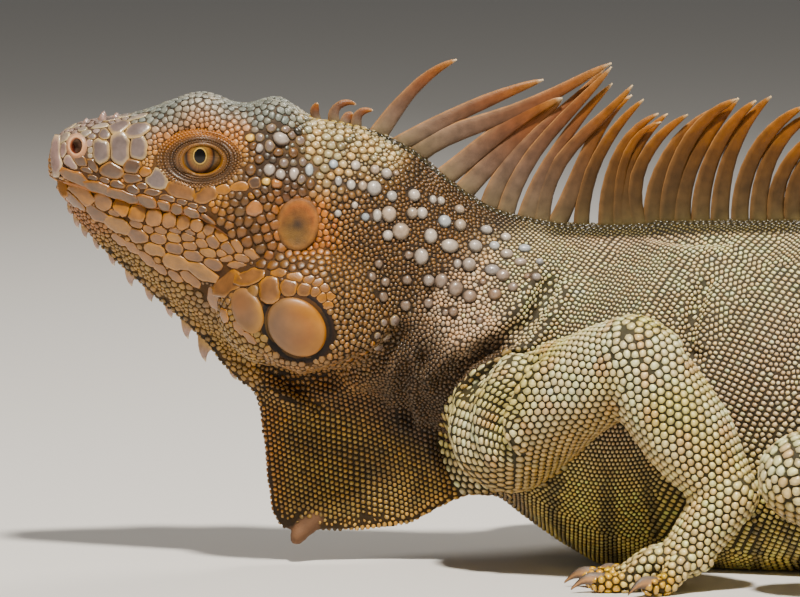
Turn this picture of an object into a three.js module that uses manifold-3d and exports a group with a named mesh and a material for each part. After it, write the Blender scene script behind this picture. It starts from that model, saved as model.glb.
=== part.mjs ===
// A life-size adult male iguana at rest: belly on the floor, chest and head raised, as a still display model.
// Millimetres, +Z up. The head points along -X and the left side faces -Y.
// Sizes are given from a point on the floor just behind the forelegs. Stations are measured along the back.
// The finished group is moved so that its origin is on the floor under the middle of the whole animal.
import * as THREE from "three";
import { mergeVertices } from "three/addons/utils/BufferGeometryUtils.js";
import Module from "manifold-3d";

const wasm = await Module();
wasm.setup();

// ---------------------------------------------------------------- driving sizes
const GAP = 0.3; // clearance between neighbouring pieces
const SIDES = { left: -1, right: 1 };

// Body sections from snout to tail tip: station along the back, height of the back, height of the underside,
// height of the widest line, half width, and the roundness above and below that line.
const BODY = [
  [-200.8, 139.5, 131.0, 135.5, 3.0, 2.0, 2.0],
  [-199.3, 143.5, 128.5, 136.0, 6.5, 2.1, 2.0],
  [-196.0, 147.3, 124.0, 136.5, 9.5, 2.2, 2.0],
  [-191.0, 150.0, 117.5, 136.0, 12.0, 2.3, 1.9],
  [-183.0, 151.8, 109.0, 134.0, 14.5, 2.3, 1.85],
  [-172.0, 153.4, 99.0, 130.0, 17.5, 2.4, 1.8],
  [-160.0, 156.8, 88.0, 126.0, 20.5, 2.5, 1.75],
  [-148.0, 158.2, 78.5, 121.0, 23.5, 2.6, 1.7],
  [-136.0, 156.2, 69.5, 113.0, 25.5, 2.6, 1.65],
  [-124.0, 157.4, 65.0, 107.0, 27.0, 2.6, 1.65],
  [-117.0, 155.2, 63.5, 105.0, 27.3, 2.5, 1.7],
  [-111.0, 151.3, 62.0, 103.0, 27.5, 2.4, 1.7],
  [-104.0, 150.5, 60.0, 102.0, 27.5, 2.3, 1.75],
  [-91.0, 147.5, 55.0, 98.0, 27.5, 2.0, 1.8],
  [-78.0, 141.5, 48.0, 90.0, 28.0, 1.9, 1.8],
  [-63.0, 129.5, 37.0, 78.0, 30.5, 1.85, 1.85],
  [-50.0, 121.5, 24.5, 68.0, 33.5, 1.8, 2.0],
  [-38.0, 118.0, 14.5, 62.0, 36.0, 1.8, 2.1],
  [-25.0, 116.0, 5.5, 58.0, 38.5, 1.75, 2.2],
  [-10.0, 115.8, -1.8, 56.0, 41.0, 1.75, 2.3],
  [30.0, 117.5, -3.0, 54.0, 44.0, 1.75, 2.4],
  [70.0, 118.0, -3.0, 53.0, 45.0, 1.75, 2.4],
  [110.0, 113.0, -3.0, 52.0, 42.5, 1.8, 2.3],
  [145.0, 102.0, -2.5, 50.0, 37.0, 1.9, 2.2],
  [172.0, 89.0, -2.0, 46.0, 30.5, 2.0, 2.1],
  [200.0, 72.0, -1.5, 38.0, 23.0, 2.0, 2.0],
  [240.0, 55.0, -1.2, 28.0, 17.5, 1.9, 2.0],
  [300.0, 42.0, -1.0, 21.0, 13.5, 1.9, 2.0],
  [400.0, 32.0, -1.0, 16.0, 10.5, 1.9, 2.0],
  [560.0, 24.0, -0.9, 12.0, 8.0, 1.9, 2.0],
  [760.0, 15.5, -0.7, 7.5, 5.3, 1.9, 2.0],
  [960.0, 8.5, -0.5, 4.0, 3.0, 1.9, 2.0],
  [1080.0, 4.0, -0.3, 1.9, 1.6, 1.9, 2.0],
];

// Turn of the body seen from above, in degrees at each station: the trunk bends to the left, the tail sways.
const TURN = [
  [-60, 0],
  [0, -4],
  [60, -20],
  [120, -36],
  [175, -42],
  [235, -34],
  [330, 2],
  [450, 42],
  [570, 50],
  [700, 20],
  [820, -24],
  [940, -52],
  [1080, -66],
];

// Where the body is parted, and how finely each length is drawn: ring spacing and points round a ring.
const SNOUT_TIP = -200.8;
const LENGTHS = {
  head: { from: SNOUT_TIP, to: -108, step: 4.9, around: 28 },
  neck: { from: -108, to: -6, step: 10, around: 24 },
  torso: { from: -62, to: 190, step: 15, around: 24 },
};
// The tail is parted often, so that no length bends round a wide gap.
const TAIL_ENDS = [190, 268, 348, 432, 522, 618, 722, 834, 954, 1080];
const TAIL_RINGS = { step: { first: 18, last: 32 }, around: { first: 12, last: 8 } };

// Swellings and hollows of the head: centre on the left or right side, reach each way, and height outwards.
const HEAD_FORMS = [
  { name: "brow", at: [-151, 14, 156], reach: [14, 7, 7], out: 5.2 },
  { name: "temple", at: [-124, 15, 153], reach: [8, 7, 8], out: 4.6 },
  { name: "eye hollow", at: [-149, 21, 138], reach: [12, 8, 8], out: -2.4 },
  { name: "snout ridge", at: [-172, 12, 146], reach: [12, 4, 4], out: 1.3 },
  { name: "nose", at: [-192, 9, 143], reach: [5, 4, 5], out: 1.2 },
  { name: "cheek", at: [-140, 25, 122], reach: [14, 8, 10], out: 1.0 },
];

// The mouth, from the front of the snout to its corner, and the parting of jaw and head behind it.
const MOUTH = [
  [-202, 130.3],
  [-193, 128.8],
  [-184, 126.2],
  [-172, 123],
  [-160, 120.3],
  [-149, 118],
  [-144, 115],
  [-138, 111],
];
const JAW_PARTING = [
  [-128, 107],
  [-115, 103],
  [-76, 101],
];
const LIP = { rise: 3, reach: 2.4, out: 0.9, fade: 8 };
const SLAB = { ahead: 5, half: 60 }; // how far the jaw's parting reaches past the snout and to each side

// The neck and torso are parted by a plane that leans back: a point on it, and its lean in degrees.
const NECK_CUT = { station: -36, height: 60, lean: 22 };

const JOWL = { at: [-111, 17.5, 88], radii: [33, 18.5, 24] };
const EYE = { at: [-149, 14.4, 139.6], radius: 7.6 };
const LID = { ring: 7.0, thick: 1.7, stretch: 1.22, out: 5.6 };
const NOSTRIL = { at: [-191, 11.9, 141], ring: 2.7, thick: 1.1, stretch: 0.85, hole: [1.5, 3, 2.3] };
const EAR = { at: [-116, 27.4, 116], radii: [6.2, 3.2, 8.0], sunk: 1.2 };
const CHEEK_PLATE = { at: [-116, 33.6, 81.5], radii: [10.6, 3.4, 10.4] };
const SNOUT_HORNS = {
  radius: 1.7,
  height: 5,
  at: [
    [-189, 3.6, 149.4],
    [-183, 3.0, 150.4],
    [-177, 5.2, 150.6],
  ],
};

// Throat fan: station, height of its free edge and half thickness there.
const DEWLAP = [
  [-193, 119.5, 1.6],
  [-183, 108.3, 1.8],
  [-166, 92.5, 2.0],
  [-149, 77, 2.0],
  [-138.5, 64.8, 2.0],
  [-130.5, 57.5, 2.0],
  [-128, 43, 1.8],
  [-126.4, 26, 1.7],
  [-124.8, 16.5, 1.6],
  [-121.5, 12.2, 1.5],
  [-100, 11.2, 1.6],
  [-81, 13.2, 2.0],
  [-67, 20.5, 3.0],
  [-57, 24.2, 5.0],
  [-46, 23.6, 7.0],
];
const DEWLAP_ROOT = { thick: 9, depth: 0.35 }; // half thickness at the throat, and how deep the fan is rooted
// Heights of the points across the fan, as shares of its depth, and how much thinner the free edge is.
const DEWLAP_LEVELS = { shares: [0, 0.07, 0.45, 1], edge: 0.45 };
// Stations of its rings: even steps, and close ones where the front edge falls steeply.
const DEWLAP_RINGS = {
  step: 11,
  clear: { before: 2, after: 4 },
  steep: [-130.5, -129.2, -128, -127.2, -126.4, -125.6, -124.8, -123.2, -121.5],
};
// The fleshy lobe at the foot of the front edge: points and radii.
const LOBE = {
  path: [
    [-108.5, -0.5, 17],
    [-111.5, -2, 14],
    [-117, -3.6, 8.6],
  ],
  radii: [2.2, 2.9, 2.8],
};
const GULAR_SPINES = {
  from: -192,
  to: -138,
  count: 11,
  length: 4.6,
  width: 3.4,
  sunk: 2,
  flat: 0.6,
  lean: 32,
  size: { ends: 0.7, middle: 1 },
};

// Crest spines: station of the root, length, lean above the horizontal, and how far the tip bends over.
const CREST = [
  [-112, 3, 55, 20],
  [-106, 8, 52, 40],
  [-98, 7, 48, 30],
  [-92, 5, 45, 20],
  [-88, 35, 47, 12],
  [-80, 50, 29, 12],
  [-70, 60, 37, 8],
  [-59, 60, 43, 6],
  [-45, 55, 52, 8],
  [-30, 50, 59, 14],
  [-13, 43, 68, 28],
  [4, 41, 72, 36],
  [25, 44, 73, 38],
  [60, 41, 73, 38],
  [120, 33, 70, 32],
  [190, 20, 64, 24],
  [250, 12, 56, 16],
  [350, 8, 48, 12],
  [520, 5, 40, 8],
  [760, 2.5, 30, 4],
];
const CREST_ROOTS = [-105, -98, -88, -80]; // the first roots; from the last the rest follow at even steps
const CREST_STEP = { body: 6.32, tail: 15 };
const CREST_END = 640;
const CREST_CUT = -13.4; // where the crest passes from the neck to the torso
const CREST_MARGIN = 2.5; // least distance of a spine's root from the end of its length of the body
const SPINE = {
  chord: 5,
  thick: 1.6,
  sunk: 2.6,
  sway: 0.045,
  vary: { length: 0.06, lean: 2 },
  taper: { power: 1.6, least: 0.12, leastThick: 0.3 },
  // A short spine is narrower: its chord is this share of the full one and grows with its length.
  narrow: { share: 0.42, perLength: 1 / 60 },
  levels: { long: 3, short: 2, from: 36 },
};

// Rounded tubercles on the side of the neck: rows that run down and back from the nape.
const TUBERCLES = {
  rows: 4,
  perRow: 5,
  start: [-97, 135],
  alongRow: [12.5, -6.2],
  nextRow: [0, -12],
  lowest: 80,
  radius: 2.9,
  sunk: 0.3,
  margin: 1,
  vary: { place: 1.2, size: 0.18 },
};

// Legs. The first point is the root inside the body; radii belong to the points.
const FORELEG = {
  shoulder: [-45, 29, 47],
  arm: [-27, 51, 62],
  elbow: [-5, 69, 75.5],
  wrist: [26, 77, 32],
  knuckles: [12, 79, 12],
  radii: { shoulder: 20.5, arm: 18, elbow: 15, forearm: 15.5, wrist: 10.5, knuckles: 8 },
};
const HINDLEG = {
  station: 166, // of the hip
  hip: [0, 20, 52], // forwards, outwards, up, from the middle of the back at that station
  thigh: [27, 51, 49],
  knee: [56, 83, 39],
  ankle: [-8, 60, 13],
  sole: [-2, 80, 8],
  radii: { hip: 26, thigh: 20, knee: 15, shank: 14, ankle: 8.5, sole: 6.5 },
};
// Digits: angle from straight ahead (positive turns inwards), length, and how far back the root lies.
const FINGERS = [
  { turn: 50, length: 17, back: 3 },
  { turn: 30, length: 26, back: 0 },
  { turn: 12, length: 31, back: 0 },
  { turn: -10, length: 30, back: 1 },
  { turn: -36, length: 21, back: 5 },
];
const TOES = [
  { turn: 46, length: 20, back: 6 },
  { turn: 28, length: 29, back: 2 },
  { turn: 12, length: 41, back: 0 },
  { turn: -4, length: 52, back: 1 },
  { turn: -34, length: 34, back: 9 },
];
const DIGIT = { root: 4.6, tip: 3.5, arch: 2.2, spread: 0.11 };
const CLAW = { root: 2.6, length: 9.5, rise: 0.6, arch: 1.4, drop: 2.4, tip: 0.5, flat: 0.75, clear: 0.1 };
// Widths of hand and foot as shares of their height, then their form.
const PALM = { hand: 1.25, foot: 1.3, around: 10, cap: 40, middle: 0.55 };

// ---------------------------------------------------------------- small mathematics
const v3 = (x, y, z) => new THREE.Vector3(x, y, z);
const mix = (a, b, t) => a + (b - a) * t;
const radians = THREE.MathUtils.degToRad;

TAIL_ENDS.slice(1).forEach((to, i, ends) => {
  const share = i / (ends.length - 1);
  LENGTHS[`tail_${i + 1}`] = {
    from: TAIL_ENDS[i],
    to,
    step: mix(TAIL_RINGS.step.first, TAIL_RINGS.step.last, share),
    around: Math.round(mix(TAIL_RINGS.around.first, TAIL_RINGS.around.last, share)),
  };
});

// A smooth curve through the rows of a table, never overshooting them. It returns all columns but the first.
function tableCurve(rows) {
  const xs = rows.map((row) => row[0]);
  const slope = (i, k) => (rows[i + 1][k] - rows[i][k]) / (xs[i + 1] - xs[i]);
  const tangent = (i, k) => {
    if (i === 0 || i === rows.length - 1) return slope(Math.max(0, i - 1), k);
    const before = slope(i - 1, k);
    const after = slope(i, k);
    return before * after <= 0 ? 0 : (2 * before * after) / (before + after);
  };
  return (x) => {
    const clamped = Math.min(Math.max(x, xs[0]), xs[xs.length - 1]);
    const i = Math.min(rows.length - 2, Math.max(0, xs.findIndex((edge) => edge > clamped) - 1));
    const j = clamped >= xs[rows.length - 1] ? rows.length - 2 : i;
    const span = xs[j + 1] - xs[j];
    const t = (clamped - xs[j]) / span;
    return rows[j].slice(1).map((start, column) => {
      const k = column + 1;
      const end = rows[j + 1][k];
      const t2 = t * t;
      const t3 = t2 * t;
      return (
        (2 * t3 - 3 * t2 + 1) * start +
        (t3 - 2 * t2 + t) * span * tangent(j, k) +
        (3 * t2 - 2 * t3) * end +
        (t3 - t2) * span * tangent(j + 1, k)
      );
    });
  };
}

// Repeatable noise between -1 and 1 for a whole number.
function vary(seed) {
  const wave = Math.sin(seed * 127.1 + 11.7) * 43758.5453;
  return 2 * (wave - Math.floor(wave)) - 1;
}

// ---------------------------------------------------------------- solids
function solid(geometry) {
  const bare = geometry.index ? geometry.toNonIndexed() : geometry.clone();
  for (const name of Object.keys(bare.attributes)) if (name !== "position") bare.deleteAttribute(name);
  const merged = mergeVertices(bare, 1e-4);
  return new wasm.Manifold(
    new wasm.Mesh({
      numProp: 3,
      vertProperties: merged.attributes.position.array,
      triVerts: new Uint32Array(merged.index.array),
    }),
  );
}

function geometryOf(made) {
  const mesh = made.getMesh();
  const positions = new Float32Array(mesh.numVert * 3);
  for (let i = 0; i < mesh.numVert; i++) {
    positions.set(mesh.vertProperties.subarray(i * mesh.numProp, i * mesh.numProp + 3), i * 3);
  }
  const geometry = new THREE.BufferGeometry();
  geometry.setAttribute("position", new THREE.BufferAttribute(positions, 3));
  geometry.setIndex(new THREE.BufferAttribute(new Uint32Array(mesh.triVerts), 1));
  geometry.computeVertexNormals();
  return geometry;
}

// The largest closed body of a solid, so that no loose scrap is left by a cut.
const larger = (a, b) => (b.volume() > a.volume() ? b : a);
const largest = (made) => made.decompose().reduce(larger);
const joined = (solids) => solids.reduce((sum, next) => sum.add(next));
const aboveFloor = (made) => made.trimByPlane([0, 0, 1], 0);

// A closed surface over rings with the same number of points; each end is closed by a fan.
function loft(rings) {
  const around = rings[0].length;
  const positions = [];
  const faces = [];
  rings.forEach((ring) => ring.forEach((p) => positions.push(p.x, p.y, p.z)));
  const at = (ring, i) => ring * around + (i % around);
  for (let ring = 0; ring < rings.length - 1; ring++) {
    for (let i = 0; i < around; i++) {
      faces.push(at(ring, i), at(ring + 1, i), at(ring + 1, i + 1));
      faces.push(at(ring, i), at(ring + 1, i + 1), at(ring, i + 1));
    }
  }
  for (const ring of [0, rings.length - 1]) {
    const middle = rings[ring].reduce((sum, p) => sum.add(p), v3(0, 0, 0)).divideScalar(around);
    const centre = positions.length / 3;
    positions.push(middle.x, middle.y, middle.z);
    const [one, two] = ring === 0 ? [0, 1] : [1, 0];
    for (let i = 0; i < around; i++) faces.push(centre, at(ring, i + one), at(ring, i + two));
  }
  const geometry = new THREE.BufferGeometry();
  geometry.setAttribute("position", new THREE.BufferAttribute(new Float32Array(positions), 3));
  geometry.setIndex(faces);
  return outward(geometry);
}

// Turns a closed geometry so that its faces point out.
function outward(geometry) {
  const made = solid(geometry);
  if (made.volume() >= 0) return geometry;
  const index = geometry.index.array;
  for (let i = 0; i < index.length; i += 3) [index[i + 1], index[i + 2]] = [index[i + 2], index[i + 1]];
  return geometry;
}

// An ellipsoid at a point, with its radii along X, Y and Z.
function ellipsoid(at, radii, across = 12, down = 8) {
  return solid(new THREE.SphereGeometry(1, across, down).scale(...radii).translate(...at));
}

// A limb through points, with a radius at each. Its ends are half spheres, or its last end is flat.
function limb(points, radii, form = {}) {
  const { around = 12, steps = 2, sideways = 1, caps = [70, 35], flatEnd = false } = form;
  const path = new THREE.CatmullRomCurve3(points, false, "centripetal");
  const spans = points.length - 1;
  const radiusAt = tableCurve(radii.map((radius, i) => [i / spans, radius]));
  const stations = [];
  const first = path.getTangent(0);
  const last = path.getTangent(1);
  caps.forEach((angle) => {
    const centre = points[0].clone().addScaledVector(first, -radii[0] * Math.sin(radians(angle)));
    stations.push([centre, first, radii[0] * Math.cos(radians(angle))]);
  });
  for (let i = 0; i <= spans * steps; i++) {
    const t = i / (spans * steps);
    stations.push([path.getPoint(t), path.getTangent(t), radiusAt(t)[0]]);
  }
  const end = radii[spans];
  if (!flatEnd) {
    [...caps].reverse().forEach((angle) => {
      const centre = points[spans].clone().addScaledVector(last, end * Math.sin(radians(angle)));
      stations.push([centre, last, end * Math.cos(radians(angle))]);
    });
  }
  let side = v3(0, 0, 1).cross(first);
  if (side.lengthSq() < 1e-6) side = v3(1, 0, 0);
  return solid(
    loft(
      stations.map(([centre, tangent, radius]) => {
        side = side.clone().addScaledVector(tangent, -side.dot(tangent)).normalize();
        const up = tangent.clone().cross(side);
        return Array.from({ length: around }, (_, i) => {
          const angle = (2 * Math.PI * i) / around;
          return centre
            .clone()
            .addScaledVector(side, radius * sideways * Math.cos(angle))
            .addScaledVector(up, radius * Math.sin(angle));
        });
      }),
    ),
  );
}

// Keeps the part of a solid on the side of a plane that the direction points to, half a gap short of it.
function keepSide(made, point, direction) {
  const normal = direction.clone().normalize();
  return made.trimByPlane(normal.toArray(), normal.dot(point) + GAP / 2);
}

// ---------------------------------------------------------------- the body's own frame
const bodyAt = tableCurve(BODY);
const turnAt = tableCurve(TURN);

// The middle line of the body seen from above, at every whole millimetre.
const BACK_LINE = (() => {
  const from = Math.floor(SNOUT_TIP) - 1;
  const to = BODY[BODY.length - 1][0] + 1;
  const points = [{ x: from, y: 0 }];
  for (let s = from; s < to; s++) {
    const angle = radians(turnAt(s + 0.5)[0]);
    const { x, y } = points[points.length - 1];
    points.push({ x: x + Math.cos(angle), y: y + Math.sin(angle) });
  }
  return { from, points };
})();

// A point given by its station, its distance to the right of the back line, and its height.
function bodyPoint(station, side, height) {
  const place = Math.min(Math.max(station - BACK_LINE.from, 0), BACK_LINE.points.length - 1.001);
  const i = Math.floor(place);
  const [a, b] = [BACK_LINE.points[i], BACK_LINE.points[i + 1]];
  const angle = radians(turnAt(station)[0]);
  return v3(
    mix(a.x, b.x, place - i) - side * Math.sin(angle),
    mix(a.y, b.y, place - i) + side * Math.cos(angle),
    height,
  );
}

// How far the head stands out from its plain section at a point.
const mouthAt = tableCurve(MOUTH);
function headForm(x, side, z) {
  const reachOut = HEAD_FORMS.reduce((sum, form) => {
    const away = [x - form.at[0], Math.abs(side) - form.at[1], z - form.at[2]];
    const square = away.reduce((total, d, i) => total + (d / form.reach[i]) ** 2, 0);
    return sum + form.out * Math.exp(-square);
  }, 0);
  const corner = MOUTH[MOUTH.length - 1][0];
  const fade = THREE.MathUtils.clamp((corner - x) / LIP.fade, 0, 1);
  const above = (z - mouthAt(x)[0] - LIP.rise) / LIP.reach;
  return reachOut + LIP.out * fade * Math.exp(-above * above);
}

function bodyRing(station, around, grow = 0) {
  const [top, under, wide, half, above, below] = bodyAt(station);
  return Array.from({ length: around }, (_, i) => {
    const angle = (2 * Math.PI * (i + 0.5)) / around;
    const [c, s] = [Math.cos(angle), Math.sin(angle)];
    const power = 2 / (s > 0 ? above : below);
    let side = half * Math.sign(c) * Math.abs(c) ** power;
    let height = wide + (s > 0 ? top - wide : wide - under) * Math.sign(s) * Math.abs(s) ** power;
    const out = v3(side, height - wide, 0);
    const away = grow + (station < LENGTHS.head.to + 4 ? headForm(station, side, height) : 0);
    if (out.length() > 1e-6) {
      out.normalize();
      side += out.x * away;
      height += out.y * away;
    }
    return bodyPoint(station, side, height);
  });
}

// A length of the body, shortened by half the gap at each parting.
function bodyLength({ from, to, step, around }, grow = 0, extend = 0) {
  const start = from === SNOUT_TIP ? from : from + GAP / 2 - extend;
  const end = to === BODY[BODY.length - 1][0] ? to : to - GAP / 2 + extend;
  const count = Math.max(2, Math.round((end - start) / step));
  const rings = Array.from({ length: count + 1 }, (_, i) => {
    let t = i / count;
    if (from === SNOUT_TIP) t = t ** 1.25; // rings lie closer at the snout
    return bodyRing(mix(start, end, t), around, grow);
  });
  return aboveFloor(solid(loft(rings)));
}

// ---------------------------------------------------------------- head
function jowl([x, away, z], side, grow) {
  const radii = JOWL.radii.map((radius) => radius + grow);
  return ellipsoid([x, side * away, z], radii, 14, 8);
}

// A ring-shaped rim that lies against the side of the head.
function rim(at, ring, thick, stretch, side) {
  const torus = new THREE.TorusGeometry(ring, thick, 4, 12).scale(stretch, 1, 1).rotateX(Math.PI / 2);
  return solid(torus.translate(at[0], side * at[1], at[2]));
}

function snoutHorn(x, side, z) {
  const cone = new THREE.ConeGeometry(SNOUT_HORNS.radius, SNOUT_HORNS.height, 6);
  return solid(cone.rotateX(Math.PI / 2).translate(x, side, z));
}

function wholeHead(grow = 0) {
  const pieces = [bodyLength(LENGTHS.head, grow, grow)];
  for (const side of Object.values(SIDES)) pieces.push(jowl(JOWL.at, side, grow));
  return joined(pieces);
}

// Everything below the mouth and the parting behind it, as a wide slab.
function belowMouth(rise) {
  const shape = new THREE.Shape();
  const line = [...MOUTH, ...JAW_PARTING];
  shape.moveTo(line[0][0] - SLAB.ahead, 0);
  shape.lineTo(line[0][0] - SLAB.ahead, line[0][1] + rise);
  line.forEach(([x, z]) => shape.lineTo(x, z + rise));
  shape.lineTo(line[line.length - 1][0], 0);
  const slab = new THREE.ExtrudeGeometry(shape, { depth: 2 * SLAB.half, bevelEnabled: false });
  return solid(slab.rotateX(Math.PI / 2).translate(0, SLAB.half, 0));
}

// A place on the head, moved to the left or right side.
const onSide = ([x, away, z], side) => [x, side * away, z];

function headParts() {
  let whole = wholeHead();
  const socket = EYE.radius + GAP;
  const lidAt = [EYE.at[0], EYE.at[1] + LID.out, EYE.at[2]];
  for (const side of Object.values(SIDES)) {
    whole = whole.add(rim(lidAt, LID.ring, LID.thick, LID.stretch, side));
    whole = whole.add(rim(NOSTRIL.at, NOSTRIL.ring, NOSTRIL.thick, NOSTRIL.stretch, side));
    SNOUT_HORNS.at.forEach(([x, away, z]) => {
      whole = whole.add(snoutHorn(x, side * away, z));
    });
    whole = whole.subtract(ellipsoid(onSide(EYE.at, side), [socket, socket, socket]));
    whole = whole.subtract(ellipsoid(onSide(NOSTRIL.at, side), NOSTRIL.hole, 10, 6));
    whole = whole.subtract(ellipsoid(onSide(EAR.at, side), EAR.radii));
  }
  return {
    head: largest(whole.subtract(belowMouth(GAP / 2))),
    lower_jaw: largest(whole.intersect(belowMouth(-GAP / 2))),
  };
}

const eye = (side) => ellipsoid(onSide(EYE.at, side), [EYE.radius, EYE.radius, EYE.radius]);

// The eardrum fills the bottom of its hollow and lies a little under the skin.
function eardrum(side) {
  const radii = EAR.radii.map((radius) => radius - GAP);
  return ellipsoid(onSide(EAR.at, side), radii).trimByPlane([0, -side, 0], EAR.sunk - EAR.at[1]);
}

function cheekPlate(side, headGrown) {
  return largest(ellipsoid(onSide(CHEEK_PLATE.at, side), CHEEK_PLATE.radii).subtract(headGrown));
}

// ---------------------------------------------------------------- crest, tubercles and throat fan
const crestAt = tableCurve(CREST);

// A flat, tapering spine that curves back. Its section is a thin wedge with the sharp edge in front.
function spine(root, forwards, { length, lean, bend, chord, sway }) {
  const levels = length > SPINE.levels.from ? SPINE.levels.long : SPINE.levels.short;
  const step = (length + SPINE.sunk) / levels;
  const across = v3(0, 0, 1).cross(forwards).normalize();
  let place = root.clone();
  const rings = Array.from({ length: levels + 1 }, (_, i) => {
    const t = i / levels;
    const angle = radians(lean + bend * (0.5 - t));
    const along = forwards.clone().multiplyScalar(Math.cos(angle)).add(v3(0, 0, Math.sin(angle)));
    if (i === 0) place.addScaledVector(along, -SPINE.sunk);
    const flat = along.clone().cross(across);
    const taper = Math.max(SPINE.taper.least, 1 - t ** SPINE.taper.power);
    const halfChord = (chord / 2) * taper;
    const halfThick = Math.max(SPINE.taper.leastThick, (SPINE.thick / 2) * taper);
    const centre = place.clone().addScaledVector(across, sway * t * length);
    const back = centre.clone().addScaledVector(flat, -halfChord);
    place = place.clone().addScaledVector(along, step);
    return [
      centre.clone().addScaledVector(flat, halfChord),
      back.clone().addScaledVector(across, halfThick),
      back.clone().addScaledVector(across, -halfThick),
    ];
  });
  return solid(loft(rings));
}

// Stations of the roots of all crest spines.
function crestRoots() {
  const roots = [...CREST_ROOTS];
  while (roots[roots.length - 1] < CREST_END) {
    const last = roots[roots.length - 1];
    roots.push(last + (last < LENGTHS.torso.to ? CREST_STEP.body : CREST_STEP.tail));
  }
  return roots;
}

function crestSpines(from, to) {
  const within = ({ station }) => station > from + CREST_MARGIN && station < to - CREST_MARGIN;
  return crestRoots()
    .map((station, number) => ({ station, number }))
    .filter(within)
    .map(({ station, number }) => {
      const [length, lean, bend] = crestAt(station);
      const turn = radians(turnAt(station)[0]);
      const backwards = v3(Math.cos(turn), Math.sin(turn), 0);
      return spine(bodyPoint(station, 0, bodyAt(station)[0]), backwards, {
        length: length * (1 + SPINE.vary.length * vary(number)),
        lean: lean + SPINE.vary.lean * vary(number + 0.5),
        bend,
        chord: SPINE.chord * Math.min(1, SPINE.narrow.share + length * SPINE.narrow.perLength),
        sway: (number % 2 ? 1 : -1) * SPINE.sway,
      });
    });
}

// Half width of the body's side at a station and height.
function sideAt(station, height) {
  const [top, under, wide, half, above, below] = bodyAt(station);
  const up = height > wide;
  const share = Math.min(1, Math.abs(height - wide) / (up ? top - wide : wide - under));
  const power = up ? above : below;
  return half * (1 - share ** power) ** (1 / power);
}

function neckTubercles(side, from, to) {
  const { rows, perRow, start, alongRow, nextRow, lowest, radius, sunk, margin } = TUBERCLES;
  const { place, size } = TUBERCLES.vary;
  const made = [];
  for (let seed = 0; seed < rows * perRow; seed++) {
    const row = Math.floor(seed / perRow);
    const along = (seed % perRow) + 0.5 * (row % 2);
    const station = start[0] + row * nextRow[0] + along * alongRow[0] + place * vary(seed);
    const height = start[1] + row * nextRow[1] + along * alongRow[1] + place * vary(seed + 0.3);
    const inside = station >= from + radius + margin && station <= to - radius - margin;
    if (height < lowest || !inside) continue;
    const at = bodyPoint(station, side * (sideAt(station, height) - sunk), height);
    const bump = new THREE.IcosahedronGeometry(radius * (1 + size * vary(seed + 0.7)), 0);
    made.push(solid(bump.translate(at.x, at.y, at.z)));
  }
  return made;
}

const dewlapAt = tableCurve(DEWLAP);

function dewlapStations() {
  const from = DEWLAP[0][0];
  const to = DEWLAP[DEWLAP.length - 1][0];
  const { step, clear, steep } = DEWLAP_RINGS;
  const stations = [];
  for (let x = from; x < steep[0] - clear.before; x += step) stations.push(x);
  stations.push(...steep);
  for (let x = steep[steep.length - 1] + clear.after; x < to; x += step) stations.push(x);
  return [...stations, to];
}

// A section of the fan at a station, from its free edge on the right side up to the throat and down the left.
function dewlapRing(x) {
  const [edge, thick] = dewlapAt(x);
  const [, under, wide] = bodyAt(x);
  const top = mix(under, wide, DEWLAP_ROOT.depth);
  const half = DEWLAP_LEVELS.shares.map((t) => {
    const y = t === 0 ? thick * DEWLAP_LEVELS.edge : mix(thick, DEWLAP_ROOT.thick, t * t);
    return v3(x, y, mix(edge, top, t));
  });
  return [...half, ...[...half].reverse().map(({ y, z }) => v3(x, -y, z))];
}

// One of the spines that hang from the chin: its share of the way from the first to the last gives its place.
function gularSpine(share) {
  const { from, to, length, width, sunk, flat, lean, size: sizes } = GULAR_SPINES;
  const x = mix(from, to, share);
  const size = mix(sizes.ends, sizes.middle, Math.sin(Math.PI * share));
  const cone = new THREE.ConeGeometry((width / 2) * size, length * size + sunk, 4).scale(1, 1, flat);
  const hanging = cone.rotateX(-Math.PI / 2).rotateY(radians(-lean));
  return solid(hanging.translate(x, 0, dewlapAt(x)[0] + (sunk - length * size) / 2));
}

function dewlap(clearOf) {
  const fan = solid(loft(dewlapStations().map(dewlapRing)));
  const lobePath = LOBE.path.map((point) => v3(...point));
  const lobe = limb(lobePath, LOBE.radii, { around: 8, caps: [45] });
  const last = GULAR_SPINES.count - 1;
  const spines = Array.from({ length: last + 1 }, (_, i) => gularSpine(i / last));
  const made = joined([fan, lobe, ...spines]);
  return largest(clearOf.reduce((left, other) => left.subtract(other), made));
}

// ---------------------------------------------------------------- legs
// Splits a limb at a joint: the plane halves the angle between the two lengths.
function jointPlane(before, joint, after) {
  const towards = before.clone().sub(joint).normalize();
  const away = after.clone().sub(joint).normalize();
  return towards.sub(away);
}

// A digit arches from its root to the floor and ends flat, where its claw begins.
function digit(root, heading, length) {
  const along = v3(Math.cos(heading), Math.sin(heading), 0);
  const at = (share, height) => root.clone().addScaledVector(along, length * share).setZ(height);
  const tip = at(1, DIGIT.tip * 0.9);
  const points = [root, at(0.36, mix(root.z, DIGIT.root * 0.8, 0.4) + DIGIT.arch), at(0.72, tip.z), tip];
  const radii = [DIGIT.root, DIGIT.root * 0.95, DIGIT.tip * 1.06, DIGIT.tip];
  return { made: limb(points, radii, { around: 6, steps: 1, caps: [45], flatEnd: true }), tip, along };
}

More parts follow.
